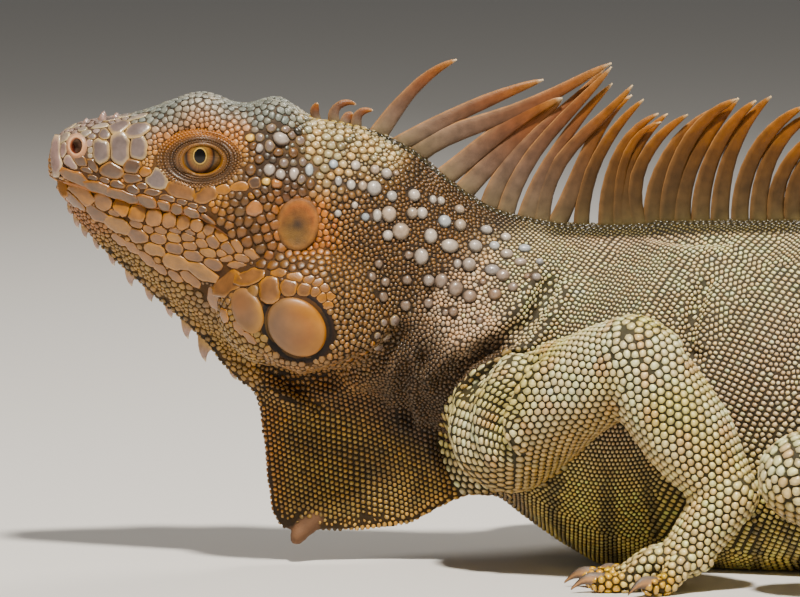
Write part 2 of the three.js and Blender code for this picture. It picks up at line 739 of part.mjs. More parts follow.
function claw(tip, along) {
  const start = tip.clone().addScaledVector(along, GAP);
  const across = v3(0, 0, 1).cross(along);
  const rings = [0, 0.45, 1].map((t) => {
    const radius = mix(CLAW.root, CLAW.tip, t ** 1.2);
    const arched = start.z + CLAW.rise + CLAW.arch * Math.sin(Math.PI * t) - CLAW.drop * t * t;
    const level = Math.max(radius + CLAW.clear, arched);
    const centre = start.clone().addScaledVector(along, CLAW.length * t).setZ(level);
    return Array.from({ length: 5 }, (_, i) => {
      const angle = (Math.PI * (2 * i + 0.5)) / 5;
      return centre
        .clone()
        .addScaledVector(across, radius * CLAW.flat * Math.cos(angle))
        .addScaledVector(v3(0, 0, 1), radius * Math.sin(angle));
    });
  });
  return solid(loft(rings));
}

// A foot from its joint to its claws: the ball lies low and the digits spread from it.
function footAlong(joint, ball, radii, { digits, side, widen, ahead }) {
  const forwards = v3(Math.cos(ahead), Math.sin(ahead), 0);
  const inwards = v3(-Math.sin(ahead), Math.cos(ahead), 0).multiplyScalar(side);
  const palm = { around: PALM.around, steps: 1, sideways: widen, caps: [PALM.cap] };
  let made = limb([joint, joint.clone().lerp(ball, PALM.middle), ball], radii, palm);
  const claws = digits.map(({ turn, length, back }) => {
    const heading = ahead + side * radians(turn);
    const root = ball.clone().addScaledVector(inwards, turn * DIGIT.spread).addScaledVector(forwards, -back);
    root.setZ(Math.max(DIGIT.root * 0.95, ball.z - 1));
    const { made: bone, tip, along } = digit(root, heading, length);
    made = made.add(bone);
    return claw(tip, along);
  });
  return { made, claws };
}

// A leg in three pieces with its claws. The chain holds the root, the middle of the upper length, the hinge,
// the middle of the lower length, the ankle and the ball; the radii belong to the same points.
function legNodes([upperName, lowerName, footName], chain, radii, clearOf, foot) {
  const [root, middle, hinge, lower, ankle, ball] = chain;
  const upper = limb([root, middle, hinge], radii.slice(0, 3));
  const shank = limb([hinge, lower, ankle], radii.slice(2, 5));
  const hingePlane = jointPlane(middle, hinge, ankle);
  const anklePlane = jointPlane(hinge, ankle, ball);
  const [ankleRadius, ballRadius] = radii.slice(4);
  const footRadii = [ankleRadius, mix(ankleRadius, ballRadius, 0.5), ballRadius];
  const { made, claws } = footAlong(ankle, ball, footRadii, foot);
  const finish = (part) => largest(aboveFloor(clearOf.reduce((left, other) => left.subtract(other), part)));
  const below = keepSide(shank, hinge, hingePlane.clone().negate());
  const nodes = {
    [upperName]: finish(keepSide(upper, hinge, hingePlane)),
    [lowerName]: finish(keepSide(below, ankle, anklePlane)),
    [footName]: finish(keepSide(made, ankle, anklePlane.clone().negate())),
  };
  claws.forEach((horn, i) => {
    nodes[`${footName}_claw_${i + 1}`] = horn;
  });
  return nodes;
}

function foreleg(name, side, clearOf) {
  const at = (point) => v3(...onSide(point, side));
  const { shoulder, arm, elbow, wrist, knuckles, radii } = FORELEG;
  const chain = [at(shoulder), at(arm), at(elbow), at(elbow).lerp(at(wrist), 0.5), at(wrist), at(knuckles)];
  const sizes = [radii.shoulder, radii.arm, radii.elbow, radii.forearm, radii.wrist, radii.knuckles];
  const names = [`upper_arm_${name}`, `forearm_${name}`, `hand_${name}`];
  return legNodes(names, chain, sizes, clearOf, { digits: FINGERS, side, widen: PALM.hand, ahead: Math.PI });
}

function hindleg(name, side, clearOf) {
  const { station, hip, thigh, knee, ankle, sole, radii } = HINDLEG;
  const middle = bodyPoint(station, 0, 0);
  const turn = radians(turnAt(station)[0]);
  const forwards = v3(-Math.cos(turn), -Math.sin(turn), 0);
  const outwards = v3(-Math.sin(turn), Math.cos(turn), 0).multiplyScalar(side);
  const at = ([ahead, out, up]) =>
    middle.clone().addScaledVector(forwards, ahead).addScaledVector(outwards, out).setZ(up);
  const chain = [at(hip), at(thigh), at(knee), at(knee).lerp(at(ankle), 0.45), at(ankle), at(sole)];
  const sizes = [radii.hip, radii.thigh, radii.knee, radii.shank, radii.ankle, radii.sole];
  const names = [`thigh_${name}`, `shank_${name}`, `foot_${name}`];
  const ahead = Math.atan2(chain[5].y - chain[4].y, chain[5].x - chain[4].x);
  return legNodes(names, chain, sizes, clearOf, { digits: TOES, side, widen: PALM.foot, ahead });
}

// ---------------------------------------------------------------- assembly
const COLOURS = {
  skin: new THREE.MeshStandardMaterial({ color: 0x9a8a5c, roughness: 0.65, metalness: 0 }),
  leg: new THREE.MeshStandardMaterial({ color: 0xb3a45e, roughness: 0.55, metalness: 0 }),
  crest: new THREE.MeshStandardMaterial({ color: 0xb06a3c, roughness: 0.6, metalness: 0 }),
  eye: new THREE.MeshStandardMaterial({ color: 0x7a4a16, roughness: 0.1, metalness: 0 }),
  plate: new THREE.MeshStandardMaterial({ color: 0xc08a5c, roughness: 0.4, metalness: 0 }),
  claw: new THREE.MeshStandardMaterial({ color: 0x5a4a3c, roughness: 0.35, metalness: 0 }),
};

// The neck and torso, parted by the leaning plane, and the tail, each with its part of the crest.
function bodyNodes(headGrown) {
  const lengths = {};
  for (const [name, size] of Object.entries(LENGTHS)) {
    if (name !== "head") lengths[name] = bodyLength(size);
  }
  lengths.neck = lengths.neck.subtract(headGrown);
  for (const side of Object.values(SIDES)) {
    neckTubercles(side, LENGTHS.neck.from, LENGTHS.neck.to).forEach((bump) => {
      lengths.neck = lengths.neck.add(bump.subtract(headGrown));
    });
  }
  const cutAt = bodyPoint(NECK_CUT.station, 0, NECK_CUT.height);
  const backOfCut = v3(Math.cos(radians(NECK_CUT.lean)), 0, -Math.sin(radians(NECK_CUT.lean)));
  lengths.neck = keepSide(lengths.neck, cutAt, backOfCut.clone().negate());
  lengths.torso = keepSide(lengths.torso, cutAt, backOfCut);
  for (const name of Object.keys(lengths)) {
    const from = name === "torso" ? CREST_CUT : LENGTHS[name].from;
    const to = name === "neck" ? CREST_CUT : LENGTHS[name].to;
    lengths[name] = largest(joined([lengths[name], ...crestSpines(from, to)]));
  }
  return lengths;
}

function allNodes() {
  const headGrown = wholeHead(GAP);
  const nodes = { ...headParts(), ...bodyNodes(headGrown) };
  const [neck, torso, tail] = ["neck", "torso", "tail_1"].map((name) => bodyLength(LENGTHS[name], GAP, GAP));
  nodes.dewlap = dewlap([headGrown, neck, torso]);
  for (const [name, side] of Object.entries(SIDES)) {
    nodes[`eye_${name}`] = eye(side);
    nodes[`ear_${name}`] = eardrum(side);
    nodes[`cheek_plate_${name}`] = cheekPlate(side, headGrown);
    Object.assign(nodes, foreleg(name, side, [torso, neck, tail]));
    Object.assign(nodes, hindleg(name, side, [torso, neck, tail]));
  }
  return nodes;
}

function materialOf(name) {
  if (name.includes("claw")) return COLOURS.claw;
  if (name.startsWith("eye")) return COLOURS.eye;
  if (name.startsWith("cheek_plate") || name.startsWith("ear")) return COLOURS.plate;
  if (/^(upper_arm|forearm|hand|thigh|shank|foot)/.test(name)) return COLOURS.leg;
  return COLOURS.skin;
}

const iguana = new THREE.Group();
for (const [name, made] of Object.entries(allNodes())) {
  const mesh = new THREE.Mesh(geometryOf(made), materialOf(name));
  mesh.name = name;
  iguana.add(mesh);
}

// The origin is under the middle of the whole animal, at the level of the floor.
const extent = new THREE.Box3().setFromObject(iguana);
const middle = extent.getCenter(v3(0, 0, 0));
iguana.position.set(-middle.x, -middle.y, -extent.min.z);

export default iguana;
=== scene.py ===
"""Looks of a life-size green iguana at rest: skin, scales, crest, eyes, horn and light.

Places are in millimetres in the animal's own frame: head towards -X, left side towards -Y, floor at z = 0.
Stations are measured along the back. At the end of each piece its places become metres in the row's frame.
"""

import math

import bmesh
import bpy
import numpy as np
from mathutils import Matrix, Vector
from mathutils.bvhtree import BVHTree
from mathutils.kdtree import KDTree


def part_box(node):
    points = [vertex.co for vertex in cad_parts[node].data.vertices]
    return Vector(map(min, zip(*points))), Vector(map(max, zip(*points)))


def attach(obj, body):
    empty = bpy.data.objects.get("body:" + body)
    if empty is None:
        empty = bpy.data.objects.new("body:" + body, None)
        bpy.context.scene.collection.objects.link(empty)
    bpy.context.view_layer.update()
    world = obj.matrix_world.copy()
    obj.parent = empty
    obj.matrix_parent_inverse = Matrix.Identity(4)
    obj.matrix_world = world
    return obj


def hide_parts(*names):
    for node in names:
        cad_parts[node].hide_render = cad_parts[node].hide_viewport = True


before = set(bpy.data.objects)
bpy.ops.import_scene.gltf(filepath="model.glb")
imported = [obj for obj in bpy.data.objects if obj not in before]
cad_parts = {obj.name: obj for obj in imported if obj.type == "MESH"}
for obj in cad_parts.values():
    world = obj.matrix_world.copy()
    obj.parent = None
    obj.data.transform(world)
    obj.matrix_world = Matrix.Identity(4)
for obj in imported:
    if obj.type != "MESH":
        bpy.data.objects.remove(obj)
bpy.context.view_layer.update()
bpy.ops.object.select_all(action="DESELECT")

MM = 0.001
MIRROR = np.array([1, -1, 1])  # from one side of the animal to the other
ACROSS, UPWARDS = np.array([0, 1.0, 0]), np.array([0, 0, 1.0])
FLOOR_LEVEL = 0.05  # no scale reaches lower than this

# ---------------------------------------------------------------- driving sizes of the body
# station, back, underside, height of the widest line, half width, roundness above and below that line
BODY = [
    (-200.8, 139.5, 131.0, 135.5, 3.0, 2.0, 2.0),
    (-199.3, 143.5, 128.5, 136.0, 6.5, 2.1, 2.0),
    (-196.0, 147.3, 124.0, 136.5, 9.5, 2.2, 2.0),
    (-191.0, 150.0, 117.5, 136.0, 12.0, 2.3, 1.9),
    (-183.0, 151.8, 109.0, 134.0, 14.5, 2.3, 1.85),
    (-172.0, 153.4, 99.0, 130.0, 17.5, 2.4, 1.8),
    (-160.0, 156.8, 88.0, 126.0, 20.5, 2.5, 1.75),
    (-148.0, 158.2, 78.5, 121.0, 23.5, 2.6, 1.7),
    (-136.0, 156.2, 69.5, 113.0, 25.5, 2.6, 1.65),
    (-124.0, 157.4, 65.0, 107.0, 27.0, 2.6, 1.65),
    (-117.0, 155.2, 63.5, 105.0, 27.3, 2.5, 1.7),
    (-111.0, 151.3, 62.0, 103.0, 27.5, 2.4, 1.7),
    (-104.0, 150.5, 60.0, 102.0, 27.5, 2.3, 1.75),
    (-91.0, 147.5, 55.0, 98.0, 27.5, 2.0, 1.8),
    (-78.0, 141.5, 48.0, 90.0, 28.0, 1.9, 1.8),
    (-63.0, 129.5, 37.0, 78.0, 30.5, 1.85, 1.85),
    (-50.0, 121.5, 24.5, 68.0, 33.5, 1.8, 2.0),
    (-38.0, 118.0, 14.5, 62.0, 36.0, 1.8, 2.1),
    (-25.0, 116.0, 5.5, 58.0, 38.5, 1.75, 2.2),
    (-10.0, 115.8, -1.8, 56.0, 41.0, 1.75, 2.3),
    (30.0, 117.5, -3.0, 54.0, 44.0, 1.75, 2.4),
    (70.0, 118.0, -3.0, 53.0, 45.0, 1.75, 2.4),
    (110.0, 113.0, -3.0, 52.0, 42.5, 1.8, 2.3),
    (145.0, 102.0, -2.5, 50.0, 37.0, 1.9, 2.2),
    (172.0, 89.0, -2.0, 46.0, 30.5, 2.0, 2.1),
    (200.0, 72.0, -1.5, 38.0, 23.0, 2.0, 2.0),
    (240.0, 55.0, -1.2, 28.0, 17.5, 1.9, 2.0),
    (300.0, 42.0, -1.0, 21.0, 13.5, 1.9, 2.0),
    (400.0, 32.0, -1.0, 16.0, 10.5, 1.9, 2.0),
    (560.0, 24.0, -0.9, 12.0, 8.0, 1.9, 2.0),
    (760.0, 15.5, -0.7, 7.5, 5.3, 1.9, 2.0),
    (960.0, 8.5, -0.5, 4.0, 3.0, 1.9, 2.0),
    (1080.0, 4.0, -0.3, 1.9, 1.6, 1.9, 2.0),
]
SNOUT_TIP, TAIL_TIP = BODY[0][0], BODY[-1][0]
HEAD_END, TRUNK_END = -108.0, 190.0

# turn of the body seen from above, in degrees at each station
TURN = [
    (-60, 0), (0, -4), (60, -20), (120, -36), (175, -42), (235, -34), (330, 2),
    (450, 42), (570, 50), (700, 20), (820, -24), (940, -52), (1080, -66),
]

# swellings and hollows of the head: centre on either side, reach each way, height outwards
HEAD_FORMS = {
    "brow": ((-151, 14, 156), (14, 7, 7), 5.2),
    "temple": ((-124, 15, 153), (8, 7, 8), 4.6),
    "eye hollow": ((-149, 21, 138), (12, 8, 8), -2.4),
    "snout ridge": ((-172, 12, 146), (12, 4, 4), 1.3),
    "nose": ((-192, 9, 143), (5, 4, 5), 1.2),
    "cheek": ((-140, 25, 122), (14, 8, 10), 1.0),
}
MOUTH = [
    (-202, 130.3), (-193, 128.8), (-184, 126.2), (-172, 123),
    (-160, 120.3), (-149, 118), (-144, 115), (-138, 111),
]
LIP = {"rise": 3.0, "reach": 2.4, "out": 0.9, "fade": 8.0}
JOWL = {"at": (-111, 17.5, 88), "radii": (33, 18.5, 24)}
EYE_AT = (-149, 14.4, 139.6)
EAR_AT = (-116, 27.4, 116)

# throat fan: station, height of the free edge, half thickness there
DEWLAP = [
    (-193, 119.5, 1.6), (-183, 108.3, 1.8), (-166, 92.5, 2.0), (-149, 77, 2.0), (-138.5, 64.8, 2.0),
    (-130.5, 57.5, 2.0), (-128, 43, 1.8), (-126.4, 26, 1.7), (-124.8, 16.5, 1.6), (-121.5, 12.2, 1.5),
    (-100, 11.2, 1.6), (-81, 13.2, 2.0), (-67, 20.5, 3.0), (-57, 24.2, 5.0), (-46, 23.6, 7.0),
]
DEWLAP_ROOT = 9.0

# crest spines behind the ones in view: station of the root, length, lean above the horizontal and
# bend of the tip
CREST = [
    (25, 44, 73, 38), (60, 41, 73, 38), (120, 33, 70, 32), (190, 20, 64, 24), (250, 12, 56, 16),
    (350, 8, 48, 12), (520, 5, 40, 8), (760, 2.5, 30, 4),
]
CREST_STEP = {"body": 5.9, "tail": 7.0}
CREST_END = 700

# legs: places on the right side, and a radius for each
FORELEG = {
    "shoulder": (-45, 29, 47), "arm": (-27, 51, 62), "elbow": (-5, 69, 75.5),
    "wrist": (26, 77, 32), "knuckles": (12, 79, 12),
}
FORELEG_RADII = {"shoulder": 20.5, "arm": 18, "elbow": 15, "forearm": 15.5, "wrist": 10.5, "knuckles": 8}
HIP_STATION = 166
# forwards, outwards and up from the middle of the back at the hip
HINDLEG = {
    "hip": (0, 20, 52), "thigh": (27, 51, 49), "knee": (56, 83, 39), "ankle": (-8, 60, 13),
    "sole": (-2, 80, 8),
}
HINDLEG_RADII = {"hip": 26, "thigh": 20, "knee": 15, "shank": 14, "ankle": 8.5, "sole": 6.5}
FINGERS = [(50, 17, 3), (30, 26, 0), (12, 31, 0), (-10, 30, 1), (-36, 21, 5)]  # turn, length, set back
TOES = [(46, 20, 6), (28, 29, 2), (12, 41, 0), (-4, 52, 1), (-34, 34, 9)]
DIGIT = {
    "root": 4.6, "tip": 3.5, "arch": 2.2, "spread": 0.11, "bent_at": 0.36, "low_at": 0.72, "tip_height": 0.9,
    "bent_height": 0.8, "sinking": 0.4, "radii": (1, 0.95, 1.06, 1), "root_height": 0.95,
}
CLAW = {"root": 2.9, "length": 9.5, "drop": 2.4, "tip": 0.35}

# ---------------------------------------------------------------- camera
VIEW = {"width": 800, "height": 597}
CAMERA = {
    "elevation": 4.5, "distance": 2100.0, "mm_per_pixel": 0.34, "target": (-81.8, 0.0, 89.9), "sensor": 36.0,
}
PIXELS = CAMERA["distance"] / CAMERA["mm_per_pixel"]  # focal length in pixels


# ---------------------------------------------------------------- small mathematics
def table_curve(rows):
    """A smooth curve through the rows of a table that never overshoots them."""
    table = np.array(rows, float)
    xs, values = table[:, 0], table[:, 1:]
    spans = np.diff(xs)[:, None]
    slopes = np.diff(values, axis=0) / spans
    before, after = slopes[:-1], slopes[1:]
    same_way = before * after > 0
    total = np.where(same_way, before + after, 1.0)
    tangents = np.vstack([slopes[:1], np.where(same_way, 2 * before * after / total, 0.0), slopes[-1:]])

    def at(x):
        x = np.clip(np.atleast_1d(np.asarray(x, float)), xs[0], xs[-1])
        i = np.clip(np.searchsorted(xs, x, side="right") - 1, 0, len(xs) - 2)
        span = spans[i]
        t = (x - xs[i])[:, None] / span
        start = (2 * t**3 - 3 * t**2 + 1) * values[i] + (t**3 - 2 * t**2 + t) * span * tangents[i]
        return start + (3 * t**2 - 2 * t**3) * values[i + 1] + (t**3 - t**2) * span * tangents[i + 1]

    return at


def mix(a, b, t):
    return a + (b - a) * t


def smooth_step(low, high, x):
    t = np.clip((x - low) / (high - low), 0.0, 1.0)
    return t * t * (3 - 2 * t)


def unit(vectors):
    length = np.linalg.norm(vectors, axis=-1, keepdims=True)
    return vectors / np.maximum(length, 1e-9)


def ripple(points, size, seed):
    """Soft repeatable noise between about -1 and 1, with swells of the given size."""
    draw = np.random.default_rng(seed)
    total = np.zeros(points.shape[:-1])
    for _ in range(5):
        direction = unit(draw.normal(size=3))
        swell = points @ direction * (2 * math.pi / size) * draw.uniform(0.7, 1.5)
        total += np.sin(swell + draw.uniform(0, 6.3))
    return total / 3.0


def way_along(points):
    """How far along a line of points each of them lies."""
    return np.concatenate([[0], np.cumsum(np.linalg.norm(np.diff(points, axis=0), axis=1))])


def at_marks(marks, way, values):
    """Rows of values at given ways along a line, where each row stands for one of its points."""
    return np.stack([np.interp(marks, way, values[:, k]) for k in range(3)], axis=-1)


def circle(count, turn=0.0):
    """Angles spaced evenly all round, turned by a share of one space."""
    return 2 * math.pi * (np.arange(count) + turn) / count


def srgb(red, green, blue):
    """A colour as the eye sees it, 0 to 255, made linear."""
    channels = np.array([red, green, blue], float) / 255
    return np.where(channels <= 0.04045, channels / 12.92, ((channels + 0.055) / 1.055) ** 2.4)


# ---------------------------------------------------------------- the body's own frame
body_at = table_curve(BODY)
turn_at = table_curve(TURN)
mouth_at = table_curve(MOUTH)
dewlap_at = table_curve(DEWLAP)
crest_at = table_curve(CREST)

LINE_FROM = math.floor(SNOUT_TIP) - 1
LINE_STATIONS = np.arange(LINE_FROM, TAIL_TIP + 2.0)
LINE_TURNS = np.radians(turn_at(LINE_STATIONS[:-1] + 0.5)[:, 0])
LINE_X = LINE_FROM + np.concatenate([[0], np.cumsum(np.cos(LINE_TURNS))])
LINE_Y = np.concatenate([[0], np.cumsum(np.sin(LINE_TURNS))])


def body_point(station, side, height):
    """Places given by station, distance to the right of the back line, and height."""
    station, side, height = np.broadcast_arrays(*(np.asarray(v, float) for v in (station, side, height)))
    turn = np.radians(turn_at(station.ravel())[:, 0]).reshape(station.shape)
    x = np.interp(station, LINE_STATIONS, LINE_X) - side * np.sin(turn)
    y = np.interp(station, LINE_STATIONS, LINE_Y) + side * np.cos(turn)
    return np.stack([x, y, height], axis=-1)


def head_form(x, side, z):
    """How far the head's own swellings and its lips stand out at places of the head."""
    total = np.zeros(x.shape)
    place = (x, np.abs(side), z)
    for at, reach, out in HEAD_FORMS.values():
        away = sum(((place[k] - at[k]) / reach[k]) ** 2 for k in range(3))
        total += out * np.exp(-away)
    fade = np.clip((MOUTH[-1][0] - x) / LIP["fade"], 0, 1)
    above = (z - mouth_at(x.ravel())[:, 0].reshape(x.shape) - LIP["rise"]) / LIP["reach"]
    return total + LIP["out"] * fade * np.exp(-above * above)


def body_surface(place, angles, grow=0.0):
    """Places on the body's surface by station and angle: 0 is the right side and a quarter turn the back."""
    place, angles = np.broadcast_arrays(np.asarray(place, float), np.asarray(angles, float))
    top, under, wide, half, above, below = body_at(place.ravel()).T.reshape(6, *place.shape)
    c, s = np.cos(angles), np.sin(angles)
    power = 2 / np.where(s > 0, above, below)
    side = half * np.sign(c) * np.abs(c) ** power
    height = wide + np.where(s > 0, top - wide, wide - under) * np.sign(s) * np.abs(s) ** power
    on_head = 1 - smooth_step(HEAD_END, HEAD_END + 8, place)
    away = grow + on_head * head_form(place, side, height)
    out = unit(np.stack([side, height - wide], axis=-1))
    return body_point(place, side + out[..., 0] * away, height + out[..., 1] * away)


# ---------------------------------------------------------------- the camera's view
TILT = math.radians(CAMERA["elevation"])
LOOK = np.array([0.0, math.cos(TILT), -math.sin(TILT)])
UP = np.array([0.0, math.sin(TILT), math.cos(TILT)])
STAND = np.array(CAMERA["target"]) - LOOK * CAMERA["distance"]


def view_place(points):
    """Column and row of places in view, both sides of the animal seen as the left one."""
    near = np.array(points, float)
    near[..., 1] = -np.abs(near[..., 1])
    away = near - STAND
    depth = away @ LOOK
    column = VIEW["width"] / 2 + PIXELS * away[..., 0] / depth
    row = VIEW["height"] / 2 - PIXELS * (away @ UP) / depth
    return np.stack([column, row], axis=-1)


def view_ray(column, row):
    """Where the camera stands, and the direction in which it sees a column and row."""
    direction = LOOK + UP * (VIEW["height"] / 2 - row) / PIXELS
    direction = direction + np.array([1.0, 0, 0]) * (column - VIEW["width"] / 2) / PIXELS
    return STAND, unit(direction)


# ---------------------------------------------------------------- meshes
EYE_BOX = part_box("eye_left")
SHIFT = np.array([(a + b) / 2 for a, b in zip(*EYE_BOX)]) / MM - np.array(EYE_AT) * (1, -1, 1)


def to_row(points):
    """Places in the animal's frame, in mm, as metres in the row's frame."""
    return (np.asarray(points, float) + SHIFT) * MM


def mesh_object(name, points, faces):
    mesh = bpy.data.meshes.new(name)
    mesh.from_pydata(to_row(points).tolist(), [], faces)
    mesh.polygons.foreach_set("use_smooth", [True] * len(mesh.polygons))
    mesh.update()
    piece = bpy.data.objects.new(name, mesh)
    bpy.context.collection.objects.link(piece)
    return piece


def loft(rings):
    """A closed surface over rings with the same number of points, as points and faces."""
    rings = np.asarray(rings, float)
    count, around = rings.shape[:2]
    ring, i = np.meshgrid(np.arange(count - 1), np.arange(around), indexing="ij")
    j = (i + 1) % around
    here, beyond = ring * around, (ring + 1) * around
    quads = np.stack([here + i, beyond + i, beyond + j, here + j], -1)
    faces = quads.reshape(-1, 4).tolist()
    faces.append(list(range(around)))
    faces.append(list(range(count * around - 1, (count - 1) * around - 1, -1)))
    return rings.reshape(-1, 3), faces


def merged(surfaces):
    """Several surfaces, each of points and faces, as one."""
    points, faces, start = [], [], 0
    for some, sides in surfaces:
        points.append(np.asarray(some, float))
        faces += [[i + start for i in side] for side in sides]
        start += len(some)
    return np.vstack(points), faces


def outward(piece):
    """Turns the faces of closed surfaces outwards."""
    made = bmesh.new()
    made.from_mesh(piece.data)
    bmesh.ops.recalc_face_normals(made, faces=made.faces)
    made.to_mesh(piece.data)
    made.free()
    return piece


def own_points(piece):
    """A piece's vertices as places in the animal's frame."""
    flat = np.empty(len(piece.data.vertices) * 3)
    piece.data.vertices.foreach_get("co", flat)
    return flat.reshape(-1, 3) / MM - SHIFT


def set_points(piece, points):
    piece.data.vertices.foreach_set("co", to_row(points).ravel())
    piece.data.update()


def own_normals(piece):
    flat = np.empty(len(piece.data.vertices) * 3)
    piece.data.vertex_normals.foreach_get("vector", flat)
    return flat.reshape(-1, 3)


PRESS, SPRING = 0.5, -0.52  # each round presses the form together and lets it spring back


def settled(points, edges, rounds):
    """Vertices evened out along the edges without shrinking the form."""
    degree = np.bincount(edges.ravel(), minlength=len(points))[:, None]
    for i in range(rounds * 2):
        total = np.stack([
            np.bincount(edges[:, 0], points[edges[:, 1], k], len(points))
            + np.bincount(edges[:, 1], points[edges[:, 0], k], len(points))
            for k in range(3)
        ], axis=-1)
        points = points + (SPRING if i % 2 else PRESS) * (total / np.maximum(degree, 1) - points)
    return points


def applied(piece, kind, **values):
    """A modifier, set and applied."""
    modifier = piece.modifiers.new(kind.lower(), kind)
    for key, value in values.items():
        setattr(modifier, key, value)
    bpy.context.view_layer.objects.active = piece
    piece.select_set(True)
    bpy.ops.object.modifier_apply(modifier=modifier.name)
    piece.select_set(False)
    return piece


# ---------------------------------------------------------------- limbs
class Limb:
    """A tapering limb on a smooth path through points, each with a radius."""

    FINE = 200  # places at which the path is worked out
    BESIDE = 0.01  # of the path, to each side of a place, to find its direction

    def __init__(self, points, radii, sideways=1.0):
        self.points = np.array(points, float)
        self.radius_at = table_curve([(i / (len(radii) - 1), radius) for i, radius in enumerate(radii)])
        self.sideways = sideways

    def place(self, t):
        """The place at a share of the path, which rounds its corners by the root of each distance."""
        last = len(self.points) - 1
        i = min(int(t * last), last - 1)
        w = t * last - i
        p1, p2 = self.points[i], self.points[i + 1]
        p0 = self.points[i - 1] if i > 0 else 2 * p1 - p2
        p3 = self.points[i + 2] if i + 2 <= last else 2 * p2 - p1
        d0, d1, d2 = (max(np.linalg.norm(b - a), 1e-6) ** 0.5 for a, b in ((p0, p1), (p1, p2), (p2, p3)))
        t1 = ((p1 - p0) / d0 - (p2 - p0) / (d0 + d1) + (p2 - p1) / d1) * d1
        t2 = ((p2 - p1) / d1 - (p3 - p1) / (d1 + d2) + (p3 - p2) / d2) * d1
        c2 = -3 * p1 + 3 * p2 - 2 * t1 - t2
        c3 = 2 * p1 - 2 * p2 + t1 + t2
        return p1 + t1 * w + c2 * w**2 + c3 * w**3

    def stations(self, step):
        """Centres, directions and radii along the limb, about a step apart."""
        fine = np.linspace(0, 1, self.FINE)
        path = np.array([self.place(t) for t in fine])
        length = way_along(path)
        count = max(2, round(length[-1] / step))
        t = np.interp(np.linspace(0, length[-1], count + 1), length, fine)
        centres = at_marks(t, fine, path)
        ahead = at_marks(np.minimum(t + self.BESIDE, 1), fine, path)
        behind = at_marks(np.maximum(t - self.BESIDE, 0), fine, path)
        return centres, unit(ahead - behind), self.radius_at(t)[:, 0]

    def rings(self, step, around=24, grow=0.0, caps=(75, 55, 35, 15)):
        """Rings round the limb, with a rounded cap of further rings on each end."""
        centres, ahead, radii = self.stations(step)
        radii = radii + grow

        def cap(end, way, turn):
            turn = math.radians(turn)
            return (centres[end] + way * (ahead[end] * radii[end] * math.sin(turn)), ahead[end],
                    radii[end] * math.cos(turn))

        rows = [cap(0, -1, turn) for turn in caps]
        rows += list(zip(centres, ahead, radii))
        rows += [cap(-1, 1, turn) for turn in reversed(caps)]
        side = np.cross(UPWARDS, ahead[0])
        side = unit(side if np.linalg.norm(side) > 1e-3 else np.array([1.0, 0, 0]))
        c, s = np.cos(circle(around))[:, None], np.sin(circle(around))[:, None]
        made = []
        for centre, direction, radius in rows:
            side = unit(side - direction * (side @ direction))
            up = np.cross(direction, side)
            made.append(centre + radius * (self.sideways * c * side + s * up))
        return made


def digit_limb(root, heading, length):
    """A finger or toe arched up from its root and lying down towards its tip, its tip and its direction."""
    along = np.array([math.cos(heading), math.sin(heading), 0])
    tip = root + along * length
    tip[2] = DIGIT["tip"] * DIGIT["tip_height"]
    bent = root + along * length * DIGIT["bent_at"]
    bent[2] = mix(root[2], DIGIT["root"] * DIGIT["bent_height"], DIGIT["sinking"]) + DIGIT["arch"]
    low = root + along * length * DIGIT["low_at"]
    low[2] = tip[2]
    ends = (DIGIT["root"], DIGIT["root"], DIGIT["tip"], DIGIT["tip"])
    limb = Limb([root, bent, low, tip], [end * share for end, share in zip(ends, DIGIT["radii"])])
    return limb, tip, along


LEG_LIMBS = ("upper", "lower", "foot")
MIDFOOT = {"at": 0.55, "radius": 0.5}  # shares of the way from the ankle to the ball


def leg(chain, radii, digits, side, flat, ahead):
    """The limbs of one leg: upper, lower and foot, its digits, and where each claw grows."""
    root, middle, hinge, lower, ankle, ball = (np.array(p, float) for p in chain)
    limbs = {
        "upper": Limb([root, middle, hinge], radii[:3]),
        "lower": Limb([hinge, lower, ankle], radii[2:5]),
        "foot": Limb([ankle, mix(ankle, ball, MIDFOOT["at"]), ball],
                     [radii[4], mix(radii[4], radii[5], MIDFOOT["radius"]), radii[5]], flat),
    }
    forwards = np.array([math.cos(ahead), math.sin(ahead), 0])
    inwards = side * np.array([-math.sin(ahead), math.cos(ahead), 0])
    claws = []
    for number, (turn, length, back) in enumerate(digits):
        start = ball + inwards * turn * DIGIT["spread"] - forwards * back
        start[2] = max(DIGIT["root"] * DIGIT["root_height"], ball[2] - 1)
        made, tip, along = digit_limb(start, ahead + side * math.radians(turn), length)
        limbs[f"digit_{number + 1}"] = made
        claws.append((tip, along))
    return limbs, claws


SOLE_FLATNESS = {"hand": 1.25, "foot": 1.3}  # how much wider than high


def foreleg(side):
    shoulder, arm, elbow, wrist, knuckles = (np.array(p, float) * (1, side, 1) for p in FORELEG.values())
    chain = [shoulder, arm, elbow, mix(elbow, wrist, 0.5), wrist, knuckles]
    return leg(chain, list(FORELEG_RADII.values()), FINGERS, side, SOLE_FLATNESS["hand"], math.pi)


def hindleg(side):
    middle = body_point(HIP_STATION, 0, 0)
    turn = math.radians(turn_at(HIP_STATION)[0, 0])
    forwards = np.array([-math.cos(turn), -math.sin(turn), 0])
    outwards = side * np.array([-math.sin(turn), math.cos(turn), 0])
    hip, thigh, knee, ankle, sole = (
        middle + forwards * ahead + outwards * out + up * UPWARDS for ahead, out, up in HINDLEG.values()
    )
    chain = [hip, thigh, knee, mix(knee, ankle, 0.45), ankle, sole]
    ahead = math.atan2(sole[1] - ankle[1], sole[0] - ankle[0])
    return leg(chain, list(HINDLEG_RADII.values()), TOES, side, SOLE_FLATNESS["foot"], ahead)


SIDES = {"left": -1, "right": 1}
LEGS = {}
for side_name, side_sign in SIDES.items():
    LEGS[f"foreleg_{side_name}"] = foreleg(side_sign)
    LEGS[f"hindleg_{side_name}"] = hindleg(side_sign)


